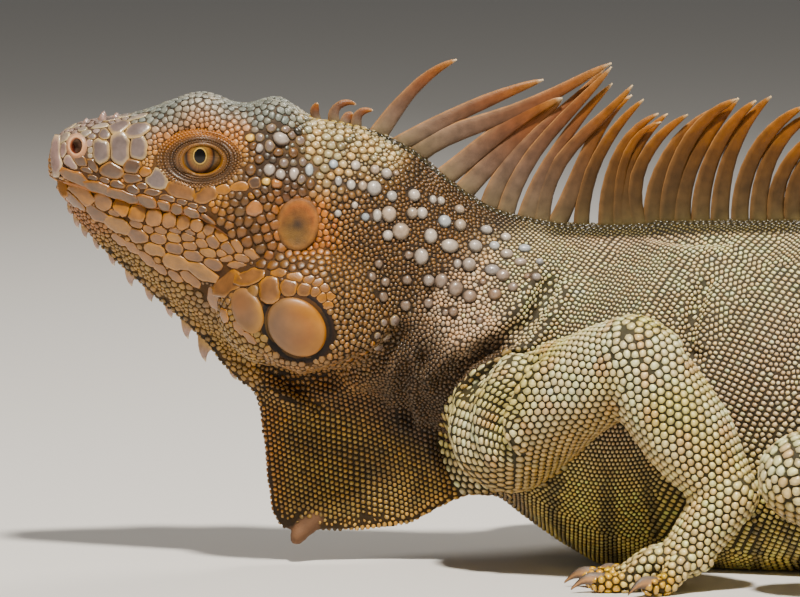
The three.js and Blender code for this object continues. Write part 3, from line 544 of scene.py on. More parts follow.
# ---------------------------------------------------------------- skin
SKIN = {"below_scales": -0.55, "voxel": 1.7, "evening": 5, "lowest": 0.8, "most_triangles": 190000}
BODY_AROUND = circle(96, 0.5)
FLESH = ["head", "lower_jaw", "neck", "torso", "dewlap"] + [f"tail_{i}" for i in range(1, 10)]
LEG_PARTS = ("upper_arm", "forearm", "hand", "thigh", "shank", "foot")
FLESH += [f"{part}_{side}" for part in LEG_PARTS for side in SIDES]

# Folds of the skin as lines in view: depth, half width and points
FOLDS = [
    (2.8, 3.2, [(262, 366), (301, 382), (332, 375), (358, 365), (381, 355), (398, 338), (402, 318)]),
    (4.4, 2.8, [(559, 264), (550, 284), (541, 304), (528, 324), (505, 338), (482, 350), (463, 361),
                (446, 382), (437, 410)]),
    (4.2, 2.4, [(545, 348), (527, 362), (510, 388), (497, 409), (495, 428), (503, 448), (516, 462)]),
    (2.6, 2.0, [(540, 338), (515, 345), (492, 352), (470, 364), (452, 388), (446, 416)]),
    (2.4, 2.4, [(712, 269), (699, 300), (689, 332), (688, 349), (702, 366)]),
    (2.0, 2.6, [(442, 365), (434, 400), (442, 440), (456, 482)]),
    (2.0, 2.2, [(408, 352), (402, 392), (414, 432)]),
    (1.6, 1.8, [(424, 345), (420, 390), (430, 436)]),
    (1.2, 2.2, [(424, 330), (430, 300), (446, 270)]),
    (1.4, 2.0, [(641, 233), (672, 239), (701, 242), (740, 241)]),
    (1.5, 2.4, [(252, 353), (278, 376), (306, 394), (326, 410)]),
]
FOLD_ENDS = (0.15, 0.85)  # shares of its line between which a fold has its full depth
FOLD_SWELL = {"share": 0.55, "away": 1.9}  # beside a fold, of its depth and of its half width
MOUTH_CREASE = {"depth": 1.5, "reach": 1.1, "full_to": 0.9}
MOUTH_SEEN = {"from": 1.5, "to": 1.0, "places": 60}  # mm behind the first and last row of its table


def line_distance(seen, line):
    """How far places in view are from a line there, in mm at the animal, and how far along it they are."""
    line = np.array(line, float)
    near, share = np.full(len(seen), 1e9), np.zeros(len(seen))
    for i, (a, b) in enumerate(zip(line[:-1], line[1:])):
        along = b - a
        t = np.clip(((seen - a) @ along) / (along @ along), 0, 1)
        distance = np.linalg.norm(seen - a - t[:, None] * along, axis=1)
        share = np.where(distance < near, (i + t) / (len(line) - 1), share)
        near = np.minimum(near, distance)
    return near * CAMERA["mm_per_pixel"], share


def fold_depth(points):
    """How far the skin lies in at its folds, with a slight swell beside each."""
    seen = view_place(points)
    total = np.zeros(len(points))
    for depth, reach, line in FOLDS:
        distance, share = line_distance(seen, line)
        away = distance / reach
        fading = smooth_step(0, FOLD_ENDS[0], share) * smooth_step(1, FOLD_ENDS[1], share)
        swell = FOLD_SWELL["share"] * np.exp(-((away - FOLD_SWELL["away"]) ** 2))
        total += fading * depth * (np.exp(-away**2) - swell)
    return total + mouth_depth(points)


def mouth_depth(points):
    """How far the lips dip in at the line of the mouth."""
    distance, share = line_distance(view_place(points), mouth_line())
    fading = smooth_step(1, MOUTH_CREASE["full_to"], share)
    return MOUTH_CREASE["depth"] * np.exp(-((distance / MOUTH_CREASE["reach"]) ** 2)) * fading


def mouth_line():
    """The line of the mouth, as places in view from the snout backwards."""
    x = np.linspace(MOUTH[0][0] + MOUTH_SEEN["from"], MOUTH[-1][0] + MOUTH_SEEN["to"], MOUTH_SEEN["places"])
    return view_place(np.stack([x, -body_at(x)[:, 3], mouth_at(x)[:, 0]], axis=-1))


FAN_SHARES = np.array([0, 0.03, 0.08, 0.16, 0.28, 0.42, 0.58, 0.75, 0.9, 1.0])  # rows from its edge upwards
FAN_FINE = (-131, -120, 0.8)  # finer stations at its front edge
FAN_TOP = 0.35  # how far it reaches into the throat, of the way to the throat's widest line
FAN_EDGE_THICKNESS = (0.35, 0.8)  # of its half thickness, in its two lowest rows
FAN_WAVE = {"out": 1.7, "long": 7.5, "high": 19, "from_top": 30, "front": (-135, -118)}


def dewlap_surface():
    """The throat fan: a thin sheet with slow waves, thicker towards the throat."""
    first, last = DEWLAP[0][0], DEWLAP[-1][0]
    stations = np.unique(np.concatenate([np.arange(first, last, 2.5), np.arange(*FAN_FINE), [last]]))
    edge, thick = dewlap_at(stations).T
    _, under, wide = body_at(stations)[:, :3].T
    top = mix(under, wide, FAN_TOP)
    rings = []
    for x, low, half, high in zip(stations, edge, thick, top):
        z = mix(low - FAN_MARGIN, high, FAN_SHARES)
        y = mix(half, DEWLAP_ROOT, FAN_SHARES**2)
        y[:2] = half * np.array(FAN_EDGE_THICKNESS)
        wave = FAN_WAVE["out"] * np.sin(x / FAN_WAVE["long"] + z / FAN_WAVE["high"])
        wave = wave * smooth_step(0, FAN_WAVE["from_top"], high - z) * smooth_step(*FAN_WAVE["front"], x)
        left = np.stack([np.full_like(z, x), y + wave, z], axis=-1)
        right = np.stack([np.full_like(z, x), -y + wave, z], axis=-1)
        rings.append(np.vstack([left, right[::-1]]))
    return loft(rings)


def sphere_surface(at, radii, across, down):
    """A ball or an egg shape, with its poles above and below."""
    polar = math.pi * (np.arange(1, down)) / down
    turn = circle(across)
    rings = [
        np.stack([np.sin(p) * np.cos(turn), np.sin(p) * np.sin(turn), np.full(across, np.cos(p))], -1)
        for p in polar
    ]
    return loft(np.array(rings) * np.array(radii) + np.array(at))


LOBE = {"path": [(-108.5, -0.5, 17), (-111.5, -2.0, 14), (-117, -3.6, 8.6)], "radii": [2.2, 2.9, 2.8]}
FAN_MARGIN = 0.9  # how much farther the skin's own fan reaches, because evening rounds it


def eye_place(side):
    """The middle of an eye, on the left (-1) or the right (1)."""
    return np.array(EYE_AT) * (1, side, 1)


# hollows of the skin on each side: place, half sizes and depth
HOLLOWS = [(EAR_AT, (6.6, 6, 8.6), 2.6), ((-191.6, 11.5, 141), (1.7, 4, 2.6), 2.8)]
# the skin is cut back round the eyeball: how it is seen from the side, its edge, and how deep it goes
EYE_OPENING = {"stretch": (0.78, 1, 1), "edge": (8.6, 10.4), "from_side": 9, "to_side": 11}
SKIN_RIPPLE = {"out": 0.35, "size": 26, "seed": 3, "fading": (-80, -40)}
DIGIT_INSET = -0.3
SNOUT_STATIONS = (SNOUT_TIP, -200.4, -199.6)
SKIN_STATIONS = ((-198, -104, 2.0), (-104, TRUNK_END, 3.0), (TRUNK_END, TAIL_TIP, 6.0))  # from, to and step
JOWL_ROUND, EYEBALL_ROUND = (48, 24), (64, 40)  # corners round and down


def make_skin():
    """One skin over all the flesh, and a tree of it from before its eyes, ears and nostrils are cut in."""
    grow = SKIN["below_scales"]
    steps = [np.arange(*span) for span in SKIN_STATIONS]
    stations = np.concatenate([SNOUT_STATIONS, *steps, [TAIL_TIP]])
    surfaces = [loft(body_surface(stations[:, None], BODY_AROUND, grow)), dewlap_surface()]
    surfaces.append(loft(Limb(LOBE["path"], LOBE["radii"]).rings(1.0)))
    for sign in SIDES.values():
        at = np.array(JOWL["at"]) * (1, sign, 1)
        surfaces.append(sphere_surface(at, np.array(JOWL["radii"]) + grow, *JOWL_ROUND))
    for limbs, _ in LEGS.values():
        for name, limb in limbs.items():
            inset = grow if name in LEG_LIMBS else DIGIT_INSET
            surfaces.append(loft(limb.rings(2.5, grow=inset)))
    skin = outward(mesh_object("skin", *merged(surfaces)))
    applied(skin, "REMESH", mode="VOXEL", voxel_size=SKIN["voxel"] * MM, use_smooth_shade=True)
    edges = np.empty(len(skin.data.edges) * 2, int)
    skin.data.edges.foreach_get("vertices", edges)
    points = settled(own_points(skin), edges.reshape(-1, 2), SKIN["evening"])
    set_points(skin, points)
    normals = own_normals(skin)
    points = points - normals * fold_depth(points)[:, None]
    swells = SKIN_RIPPLE["out"] * ripple(points, SKIN_RIPPLE["size"], SKIN_RIPPLE["seed"])
    points += normals * (swells * smooth_step(*SKIN_RIPPLE["fading"], points[:, 0]))[:, None]
    faces = [tuple(face.vertices) for face in skin.data.polygons]
    whole_tree = BVHTree.FromPolygons(to_row(points).tolist(), faces)
    for sign in SIDES.values():
        away = points - eye_place(sign)
        distance = np.linalg.norm(away * EYE_OPENING["stretch"], axis=1)
        opened = 1 - smooth_step(*EYE_OPENING["edge"], distance)
        outside = points[:, 1] * sign > EYE_OPENING["from_side"]
        beyond = np.maximum(0, np.abs(points[:, 1]) - EYE_OPENING["to_side"])
        points[:, 1] -= sign * (opened * outside * beyond)
        for at, reach, depth in HOLLOWS:
            hollow = np.exp(-np.sum(((points - np.array(at) * (1, sign, 1)) / reach) ** 4, axis=1))
            points[:, 1] -= sign * depth * hollow
    points[:, 2] = np.maximum(points[:, 2], SKIN["lowest"])
    set_points(skin, points)
    triangles = 2 * len(skin.data.polygons)
    if triangles > SKIN["most_triangles"]:
        applied(skin, "DECIMATE", ratio=SKIN["most_triangles"] / triangles)
    return skin, whole_tree


skin, WHOLE_TREE = make_skin()
SKIN_TREE = BVHTree.FromObject(skin, bpy.context.evaluated_depsgraph_get())


def on_skin(points):
    """The nearest places on the skin, its normals there, and how far off they were."""
    rows = to_row(points)
    places, normals, away = np.empty((len(rows), 3)), np.empty((len(rows), 3)), np.empty(len(rows))
    for i, row in enumerate(rows):
        place, normal, _, distance = SKIN_TREE.find_nearest(row)
        places[i], normals[i], away[i] = place, normal, distance
    return places / MM - SHIFT, normals, away / MM


def through_view(column, row):
    """The place on the left side of the whole skin seen at a column and row, and its normal there."""
    start, direction = view_ray(column, row)
    hit, normal, _, _ = WHOLE_TREE.ray_cast(Vector(to_row(start)), Vector(direction))
    if hit is None:
        return None
    return np.array(hit) / MM - SHIFT, np.array(normal)


# ---------------------------------------------------------------- where scales sit
# A set of sites holds, for each scale: its place, the skin's normal, the way it points, half its length and
# half its width, its height, the colour of its middle and of its rim, its kind, and whether it stays where
# it was put.
FIELDS = ("at", "normal", "along", "long", "wide", "high", "tint", "rim", "kind", "fixed")
KIND_NAMES = "plate shield head bump pearl nape lid neck root trunk tail dewlap leg".split()
KIND = {name: number for number, name in enumerate(KIND_NAMES)}


def sites(at, normal, along, long, kind, wide=None, high=0.5, tint=(0.5, 0.5, 0.5), rim=None, fixed=0.0):
    """Sites of one kind; the height is given as a share of the smaller half size."""
    at = np.atleast_2d(at)
    count = len(at)

    def column(value, width):
        return np.array(np.broadcast_to(np.asarray(value, float).reshape(-1, width), (count, width)))

    long = column(long, 1)[:, 0]
    wide = long.copy() if wide is None else column(wide, 1)[:, 0]
    rim = tint if rim is None else rim
    return {
        "at": at, "normal": column(normal, 3), "along": column(along, 3), "long": long, "wide": wide,
        "high": high * np.minimum(long, wide), "tint": column(tint, 3), "rim": column(rim, 3),
        "kind": np.full(count, float(KIND[kind])), "fixed": column(fixed, 1)[:, 0],
    }


def together(groups):
    """Several sets of sites as one."""
    groups = [group for group in groups if len(group["at"])]
    return {key: np.concatenate([group[key] for group in groups]) for key in FIELDS}


def chosen(group, keep):
    return {key: value[keep] for key, value in group.items()}


def of_kind(group, *names):
    return np.isin(group["kind"], [KIND[name] for name in names])


def half_size(group):
    return (group["long"] + group["wide"]) / 2


def tree_of(points):
    tree = KDTree(len(points))
    for i, point in enumerate(points):
        tree.insert(point, i)
    tree.balance()
    return tree


def thinned(group, closest):
    """Drops each site that lies too close to an earlier one for their sizes; fixed ones may lie closer."""
    points, size = group["at"], half_size(group)
    room = np.where(group["fixed"] > 0.5, FIXED_ROOM, closest)
    tree = tree_of(points)
    most = size[group["fixed"] < 0.5].max()
    keep = np.ones(len(points), bool)
    for i, point in enumerate(points):
        if not keep[i]:
            continue
        for _, j, distance in tree.find_range(point, np.max(closest) * (size[i] + most)):
            if j > i and keep[j] and distance < room[j] * (size[i] + size[j]):
                keep[j] = False
    return chosen(group, keep)


FIXED_ROOM = 0.42  # of the two half sizes, between the middles of scales that stay where they were put


def neighbours(points, count):
    """The nearest other sites of each one."""
    tree = tree_of(points)
    found = np.zeros((len(points), count), int)
    for i, point in enumerate(points):
        near = [j for _, j, _ in tree.find_n(point, count + 1) if j != i][:count]
        found[i] = near + [near[-1]] * (count - len(near))
    return found


EVENING = {"neighbours": 7, "apart": 1.04, "share": 0.35}  # apart: of the two half sizes


def evened(group, rounds):
    """Pushes neighbouring sites apart where they crowd, and back onto the skin."""
    loose = group["fixed"] < 0.5
    size = half_size(group)
    for _ in range(rounds):
        near = neighbours(group["at"], EVENING["neighbours"])
        away = group["at"][:, None, :] - group["at"][near]
        distance = np.linalg.norm(away, axis=2)
        wanted = (size[:, None] + size[near]) * EVENING["apart"]
        push = np.clip(wanted - distance, 0, None) / np.maximum(distance, 1e-3)
        moved = group["at"] + EVENING["share"] * np.sum(away * push[..., None], axis=1) * 0.5
        at, normal, _ = on_skin(moved[loose])
        group["at"][loose], group["normal"][loose] = at, normal
    return group


def laid(points, along, size, kind, farthest=2.5, **looks):
    """Sites on the skin under or over the given places."""
    points = np.atleast_2d(points)
    size = np.broadcast_to(np.asarray(size, float), (len(points),))
    at, normal, away = on_skin(points)
    keep = away < farthest
    along = np.broadcast_to(along, points.shape)[keep]
    return sites(at[keep], normal[keep], along, size[keep], kind, **looks)


# ---- trunk and tail: staggered rings
FINE_ANGLES = math.pi * np.arange(0, 129) / 128  # from the back down one side to the belly
PITCH = table_curve([
    (-120, 1.6), (-85, 1.6), (-30, 1.62), (50, 1.7), (110, 2.1), (200, 2.9),
    (300, 3.4), (560, 3.4), (800, 3.0), (1000, 2.2), (1080, 1.5),
])
RING_STEP = 0.87  # of the pitch, as in close-packed rows
# how far the rows go forwards for each mm down
SLANT = table_curve([(-80, 0.0), (-50, 0.55), (110, 0.6), (180, 0.1), (240, 0.0)])
SLANT_FROM, SLANT_TO = 20, 130
FLANK_BEAD = {"long": 1.14, "wide": 0.84, "rising": math.radians(35)}  # beside the pitch


def ring_sites(first, last):
    """Staggered rows round the trunk and tail; on the flanks they lean back towards the crest."""
    groups = []
    station, parity = first, 0
    while station < last:
        pitch, slant = PITCH(station)[0, 0], SLANT(station)[0, 0]
        for sign in SIDES.values():
            angles = math.pi / 2 - sign * FINE_ANGLES
            plain = body_surface(station, angles)
            down = way_along(plain)
            stations = station + slant * (SLANT_FROM - np.minimum(down, SLANT_TO))
            outline = body_surface(stations, angles, SKIN["below_scales"])
            ahead = body_surface(stations + 1.0, angles, SKIN["below_scales"])
            length = way_along(outline)
            count = round(length[-1] / pitch)
            marks = (np.arange(count + 1) + 0.5 * parity) * length[-1] / count
            marks = marks[marks <= length[-1] + 0.01]
            if sign > 0 and not parity:
                marks = marks[1:-1]
            places = at_marks(marks, length, outline)
            further = at_marks(marks, length, ahead)
            groups.append((places, unit(further - places), np.full(len(marks), pitch / 2)))
            stretch = float(np.median(np.linalg.norm(ahead - outline, axis=1)))
        station += RING_STEP * pitch * math.hypot(1, slant) / stretch
        parity = 1 - parity
    places, along, size = (np.concatenate(column) for column in zip(*groups))
    return flank_turned(laid(places, along, size, "trunk"))


def flank_turned(group):
    """Long narrow beads that rise backwards on the flanks, turning to plain rows on the tail."""
    station = nearest_station(group["at"])
    share = smooth_step(-80, -50, station) * smooth_step(190, 140, station)
    rising = FLANK_BEAD["rising"] * share
    up = unit(UPWARDS - group["normal"] * group["normal"][:, 2:3] + 1e-6)
    group["along"] = unit(group["along"] * np.cos(rising)[:, None] + up * np.sin(rising)[:, None])
    group["long"] *= mix(1, FLANK_BEAD["long"], share)
    group["wide"] *= mix(1, FLANK_BEAD["wide"], share)
    group["kind"][station > TAIL_FROM] = KIND["tail"]
    return group


TAIL_FROM = 195


def nearest_station(points):
    """The station of places near the body, by the closest point of the back line."""
    tree = tree_of(np.stack([LINE_X, LINE_Y, np.zeros_like(LINE_X)], axis=-1))
    return np.array([LINE_STATIONS[tree.find(p)[1]] for p in points * (1, 1, 0)])


LEG_SCALES = {"upper": 1.36, "lower": 1.38, "foot": 1.42}
DIGIT_SCALE = 1.45
HIND_LARGER = 1.2


def spaced(ring, spacing, offset, last_count):
    """Places round a closed ring, about a way apart, as many as in the last ring where that nearly fits."""
    closed = np.vstack([ring, ring[:1]])
    length = way_along(closed)
    count = max(4, round(length[-1] / spacing))
    if abs(count - last_count) <= SAME_COUNT * count:
        count = last_count
    marks = (np.arange(count) + offset) * length[-1] / count
    return at_marks(marks, length, closed)


SAME_COUNT = 0.13


LEG_AROUND, LEG_CAPS = 72, (50, 20)  # corners of the rings, and degrees of the rings on a limb's ends


def leg_sites(limbs, larger):
    """Rings of scales round every limb of a leg."""
    groups = []
    for name, limb in limbs.items():
        half = LEG_SCALES.get(name, DIGIT_SCALE) * larger
        _, ahead, _ = limb.stations(2 * half * RING_STEP)
        rings = limb.rings(2 * half * RING_STEP, LEG_AROUND, SKIN["below_scales"], LEG_CAPS)
        steps = [ahead[0]] * len(LEG_CAPS) + list(ahead) + [ahead[-1]] * len(LEG_CAPS)
        count = 0
        for number, (ring, direction) in enumerate(zip(rings, steps)):
            places = spaced(ring, 2 * half, 0.5 * (number % 2), count)
            count = len(places)
            groups.append((places, np.broadcast_to(direction, places.shape), np.full(len(places), half)))
    places, along, size = (np.concatenate(column) for column in zip(*groups))
    return laid(places, along, size, "leg", farthest=1.6, high=0.5)


SHOULDER = {
    "column": 520, "row": 436, "first": 16, "step": 4.5, "last": 80, "spacing": 9.0, "long": 4.7, "wide": 2.6,
}
SHOULDER_ARC = (100, 262)  # degrees, from up round the front and down


def shoulder_rows():
    """Long scales in arcs round the front of the shoulder."""
    rows = []
    radius, parity = SHOULDER["first"], 0
    while radius < SHOULDER["last"]:
        step = math.degrees(SHOULDER["spacing"] / radius)
        turn = SHOULDER_ARC[0] + step * 0.5 * parity
        while turn < SHOULDER_ARC[1]:
            column = SHOULDER["column"] + radius * math.cos(math.radians(turn))
            row = SHOULDER["row"] - radius * math.sin(math.radians(turn))
            rows.append((column, row, SHOULDER["long"], SHOULDER["wide"], turn + 90))
            turn += step
        radius += SHOULDER["step"]
        parity = 1 - parity
    return rows


SHOULDER_CLEAR = {"radius": (12, 80), "turn": (104, 258), "side": 12}


def off_shoulder(group):
    """Drops the sites where the shoulder's own rows lie."""
    seen = view_place(group["at"]) - (SHOULDER["column"], SHOULDER["row"])
    radius = np.linalg.norm(seen, axis=1)
    turn = np.degrees(np.arctan2(-seen[:, 1], seen[:, 0])) % 360
    inside = np.abs(group["at"][:, 1]) > SHOULDER_CLEAR["side"]
    for value, (first, last) in ((radius, SHOULDER_CLEAR["radius"]), (turn, SHOULDER_CLEAR["turn"])):
        inside &= (value > first) & (value < last)
    return chosen(group, ~inside)


# rows of larger scales beside the roots of the crest: stations, spacing, way from the middle, half sizes
# and colour
CREST_ROOTS = [
    (-112, -92, 2.6, 2.4, 1.3, 1.2, (186, 160, 96)), (-92, 320, 2.1, 2.6, 1.5, 0.95, (58, 50, 28)),
    (-84, 320, 2.2, 5.0, 1.5, 1.0, (66, 58, 34)),
]
# the rims are the middles darkened: painted shade where the scales curve down to the skin
ROOT_RIM = 0.6  # how dark the rims of these scales are beside their middles
BESIDE_CREST = 40  # of the fine angles, from the back downwards


def crest_root_sites():
    """Rows of larger scales on both sides of the crest's roots."""
    groups = []
    for first, last, step, away, long, wide, colour in CREST_ROOTS:
        stations = np.arange(first, last, step)
        for sign in SIDES.values():
            angles = math.pi / 2 - sign * FINE_ANGLES[:BESIDE_CREST]
            places, down = [], []
            for station in stations:
                outline = body_surface(station, angles, SKIN["below_scales"])
                length = way_along(outline)
                places.append(at_marks(away, length, outline))
                down.append(outline[BESIDE_CREST // 2] - outline[0])
            along = unit(np.array(down))
            looks = {"wide": wide, "high": 0.6, "tint": srgb(*colour), "rim": srgb(*colour) * ROOT_RIM}
            groups.append(laid(np.array(places), along, long, "root", fixed=1.0, **looks))
    return together(groups)


FAN_ROWS = {
    "half": 0.86, "slant": math.radians(38), "centre": (-90, 50), "spread": 1.12, "long": 1.06, "wide": 0.9,
}
FAN_REACH = {"front": -192, "throat": -129, "back": -48, "above_edge": 0.8, "into_throat": 9}
FAN_EDGE = {"first": -190, "last": -50, "half": 0.98, "spacing": 1.9}


def fan_edge_sites():
    """One row of scales along the free edge of the throat fan."""
    x = np.arange(FAN_EDGE["first"], FAN_EDGE["last"], 0.25)
    edge = np.stack([x, np.zeros_like(x), dewlap_at(x)[:, 0]], axis=-1)
    length = way_along(edge)
    marks = np.arange(0, length[-1], FAN_EDGE["spacing"])
    places = at_marks(marks, length, edge)
    along = unit(np.gradient(places, axis=0))
    return laid(places, along, FAN_EDGE["half"], "dewlap", farthest=3.0, fixed=1.0)


def dewlap_sites():
    """Slanting rows on both faces of the throat fan."""
    half, slant = FAN_ROWS["half"], FAN_ROWS["slant"]
    u, v = np.meshgrid(np.arange(-95, 95), np.arange(-95, 95))
    u = (u + 0.5 * (v % 2)) * 2 * half * FAN_ROWS["spread"]
    v = v * 2 * half * RING_STEP
    x = (FAN_ROWS["centre"][0] + u * math.cos(slant) - v * math.sin(slant)).ravel()
    z = (FAN_ROWS["centre"][1] + u * math.sin(slant) + v * math.cos(slant)).ravel()
    edge = dewlap_at(x)[:, 0]
    under = body_at(x)[:, 1]
    inside = (z > edge + FAN_REACH["above_edge"]) & (z < under + FAN_REACH["into_throat"])
    inside &= (x > FAN_REACH["front"]) & (x < FAN_REACH["back"])
    x, z = x[inside], z[inside]
    groups = []
    for sign in SIDES.values():
        at, normal, _ = on_skin(np.stack([x, np.full_like(x, sign * 6.0), z], axis=-1))
        keep = (at[:, 1] * sign > 0) | (np.abs(at[:, 1]) < 3)
        along = np.array([math.sin(slant), 0, -math.cos(slant)])
        long, wide = half * FAN_ROWS["long"], half * FAN_ROWS["wide"]
        groups.append(sites(at[keep], normal[keep], along, long, "dewlap", wide=wide, high=0.55))
    group = together(groups)
    group["kind"][group["at"][:, 0] < FAN_REACH["throat"]] = KIND["head"]
    return group


# ---- head: plates, placed in five enlarged cuts of the camera's view, and finer scales between them
CUTS = {
    "snout": {"column": 31.7, "row": 101.4, "times": 12.69},
    "jaw": {"column": 40.0, "row": 150.0, "times": 7.127},
    "cheek": {"column": 200.0, "row": 240.0, "times": 7.127},
    "temple": {"column": 41.0, "row": 80.7, "times": 5.27},
    "neck": {"column": 300.0, "row": 39.6, "times": 4.9},
}
# column and row in the cut, half length and half width, direction in degrees (0 backwards, 90 up), finish
SNOUT_PLATES = [
    (318, 690, 185, 76, 96, "rose"), (392, 622, 84, 42, 92, "rose"), (418, 462, 66, 48, 60, "chalk"),
    (485, 335, 58, 42, 35, "chalk"), (575, 310, 42, 34, 20, "chalk"), (640, 352, 44, 28, 10, "chalk"),
    (700, 405, 52, 34, -12, "chalk"), (765, 440, 38, 46, 60, "mauve"), (742, 530, 44, 28, 90, "rose"),
    (752, 620, 40, 26, 90, "chalk"), (746, 695, 34, 26, 80, "chalk"), (490, 784, 88, 46, -42, "rose"),
    (628, 766, 88, 46, -22, "umber"), (768, 800, 84, 50, -52, "umber"), (700, 868, 74, 26, -20, "umber"),
    (885, 636, 164, 106, 96, "mauve"), (1120, 618, 212, 114, 93, "mauve"), (922, 432, 70, 62, 80, "mauve"),
    (1114, 326, 114, 84, 22, "mauve"), (1342, 356, 124, 78, 10, "mauve"), (1338, 606, 130, 90, 86, "mauve"),
    (868, 312, 98, 34, 4, "chalk"), (1020, 226, 88, 40, 26, "mauve"), (1170, 190, 84, 38, 2, "chalk"),
    (1345, 200, 100, 46, 0, "chalk"), (1020, 860, 142, 82, -13, "umber"), (1296, 828, 92, 84, 90, "umber"),
    (1276, 968, 98, 46, -2, "umber"), (1452, 900, 52, 96, 80, "tan"),
]
LIP_PLATES = [
    (258, 202, 96, 34, -24), (430, 264, 108, 40, -22), (596, 330, 104, 38, -18), (765, 371, 74, 38, -15),
    (885, 396, 50, 36, -12), (976, 422, 46, 34, -12), (1085, 448, 66, 34, -18), (1195, 496, 60, 26, -30),
]
LIP_FRINGE = [
    (380, 205, 46, 18, -18), (460, 222, 44, 18, -16), (548, 250, 60, 24, -14), (662, 284, 52, 24, -6),
    (800, 302, 74, 22, -10), (905, 344, 74, 21, -14), (1012, 368, 48, 20, -12), (1090, 398, 42, 18, -16),
    (1150, 425, 34, 18, -20), (730, 262, 44, 20, -10),
]
JAW_PLATES = [
    (98, 214, 62, 34, -62, "tan"), (160, 262, 66, 32, -48, "tan"), (292, 314, 100, 56, -28, "tan"),
    (450, 374, 72, 54, -22, "tan"), (578, 412, 66, 52, -20, "tan"), (694, 450, 64, 54, -18, "tan"),
    (812, 482, 62, 54, -15, "tan"), (922, 506, 54, 54, -12, "tan"), (1022, 518, 50, 52, -10, "tan"),
    (1115, 546, 48, 54, -16, "tan"), (1200, 574, 40, 54, -32, "tan"), (1290, 612, 62, 42, -38, "tan"),
    (1400, 690, 70, 30, -35, "tan"), (1500, 742, 68, 28, -28, "tan"), (250, 362, 84, 52, -42, "mauve tan"),
    (406, 458, 84, 44, -15, "mauve tan"), (532, 447, 54, 24, -14, "tan"), (556, 534, 86, 54, -12, "gold"),
    (688, 530, 50, 28, -14, "tan"), (695, 606, 90, 48, -8, "mauve tan"), (770, 566, 42, 26, -12, "tan"),
    (842, 632, 62, 36, -5, "mauve tan"), (860, 572, 48, 24, -10, "tan"), (956, 622, 52, 36, -5, "gold"),
    (962, 576, 50, 22, -8, "mauve tan"), (1052, 622, 50, 34, -8, "tan"),
    (1072, 586, 48, 22, -12, "mauve tan"), (1152, 606, 38, 30, -15, "tan"),
    (1228, 646, 58, 46, -26, "mauve tan"), (1156, 668, 48, 36, -15, "tan"), (812, 702, 76, 38, -5, "gold"),
    (962, 700, 74, 38, -3, "mauve tan"), (1072, 684, 58, 34, -6, "tan"),
    (1342, 692, 56, 44, -22, "mauve tan"), (1196, 730, 70, 32, -12, "gold"),
    (1296, 742, 42, 28, -12, "tan"), (966, 800, 100, 50, -10, "gold"),
    (1092, 752, 82, 38, -12, "mauve tan"), (1232, 816, 74, 40, -15, "mauve tan"),
    (1152, 868, 100, 58, -20, "gold"), (1070, 910, 84, 36, -36, "tan"), (1330, 776, 52, 28, -4, "tan"),
    (1402, 822, 92, 26, -8, "tan"), (1440, 770, 60, 28, -10, "tan"), (822, 210, 70, 54, -50, "mauve"),
    (1000, 300, 126, 46, -24, "mauve tan"), (1193, 318, 80, 40, 12, "mauve tan"),
    (1312, 286, 50, 28, 8, "tan"), (1424, 260, 68, 24, 5, "tan"), (1530, 236, 42, 34, 0, "umber"),
    (1535, 412, 52, 46, 0, "amber"), (560, 640, 60, 30, -30, "tan"), (660, 700, 62, 30, -32, "tan"),
    (760, 775, 62, 30, -34, "tan"), (860, 850, 60, 30, -36, "tan"), (960, 900, 60, 30, -38, "tan"),
]
CHEEK_PLATES = [
    (195, 308, 106, 86, 10, "mauve tan"), (98, 412, 94, 60, -50, "tan"),
    (360, 258, 104, 48, -5, "mauve tan"), (497, 346, 74, 66, -60, "mauve tan"),
    (632, 334, 64, 46, 0, "mauve tan"), (742, 352, 54, 32, -5, "mauve tan"),
    (822, 368, 40, 26, -12, "mauve tan"), (872, 408, 32, 28, -50, "tan"), (914, 464, 28, 25, 0, "tan"),
    (172, 538, 52, 36, -46, "tan"), (560, 232, 54, 24, -6, "tan"), (680, 264, 58, 27, -8, "tan"),
    (776, 282, 42, 22, -6, "mauve tan"), (836, 302, 34, 24, 0, "mauve tan"),
    (888, 342, 30, 26, 0, "mauve tan"), (930, 402, 28, 27, 0, "tan"), (268, 622, 52, 24, -45, "tan"),
    (360, 706, 52, 24, -38, "tan"),
]
TEMPLE_BUMPS = [
    (1266, 306, 52, 36, 0, "pearl"), (1207, 345, 28, 36, 0, "mauve"), (1150, 356, 24, 26, 0, "pearl"),
    (1205, 470, 32, 32, 0, "pearl"), (1262, 496, 29, 31, 0, "pearl"), (1280, 435, 26, 26, 0, "mauve"),
    (1334, 492, 28, 38, 0, "pearl"), (1413, 470, 23, 38, 0, "ice"), (1188, 532, 28, 21, 0, "cream"),
    (1240, 542, 34, 26, -20, "amber"), (1104, 302, 30, 22, 0, "cream"), (1316, 288, 26, 24, 0, "mauve"),
    (1364, 318, 26, 28, 0, "mauve"), (1370, 520, 24, 28, 0, "mauve"), (1420, 545, 22, 28, 0, "umber"),
    (1330, 380, 26, 28, 0, "umber"), (1250, 378, 28, 22, 0, "umber"), (1290, 262, 28, 24, 0, "mauve"),
    (1152, 300, 26, 24, 0, "mauve"), (1120, 345, 22, 22, 0, "umber"), (1150, 415, 26, 24, 0, "umber"),
    (1105, 470, 28, 30, 0, "umber"), (1118, 530, 30, 26, 0, "umber"), (1135, 595, 30, 22, 0, "umber"),
    (1112, 606, 24, 20, 0, "tan"), (1380, 430, 22, 26, 0, "mauve"), (1215, 250, 28, 24, 0, "mauve"),
]
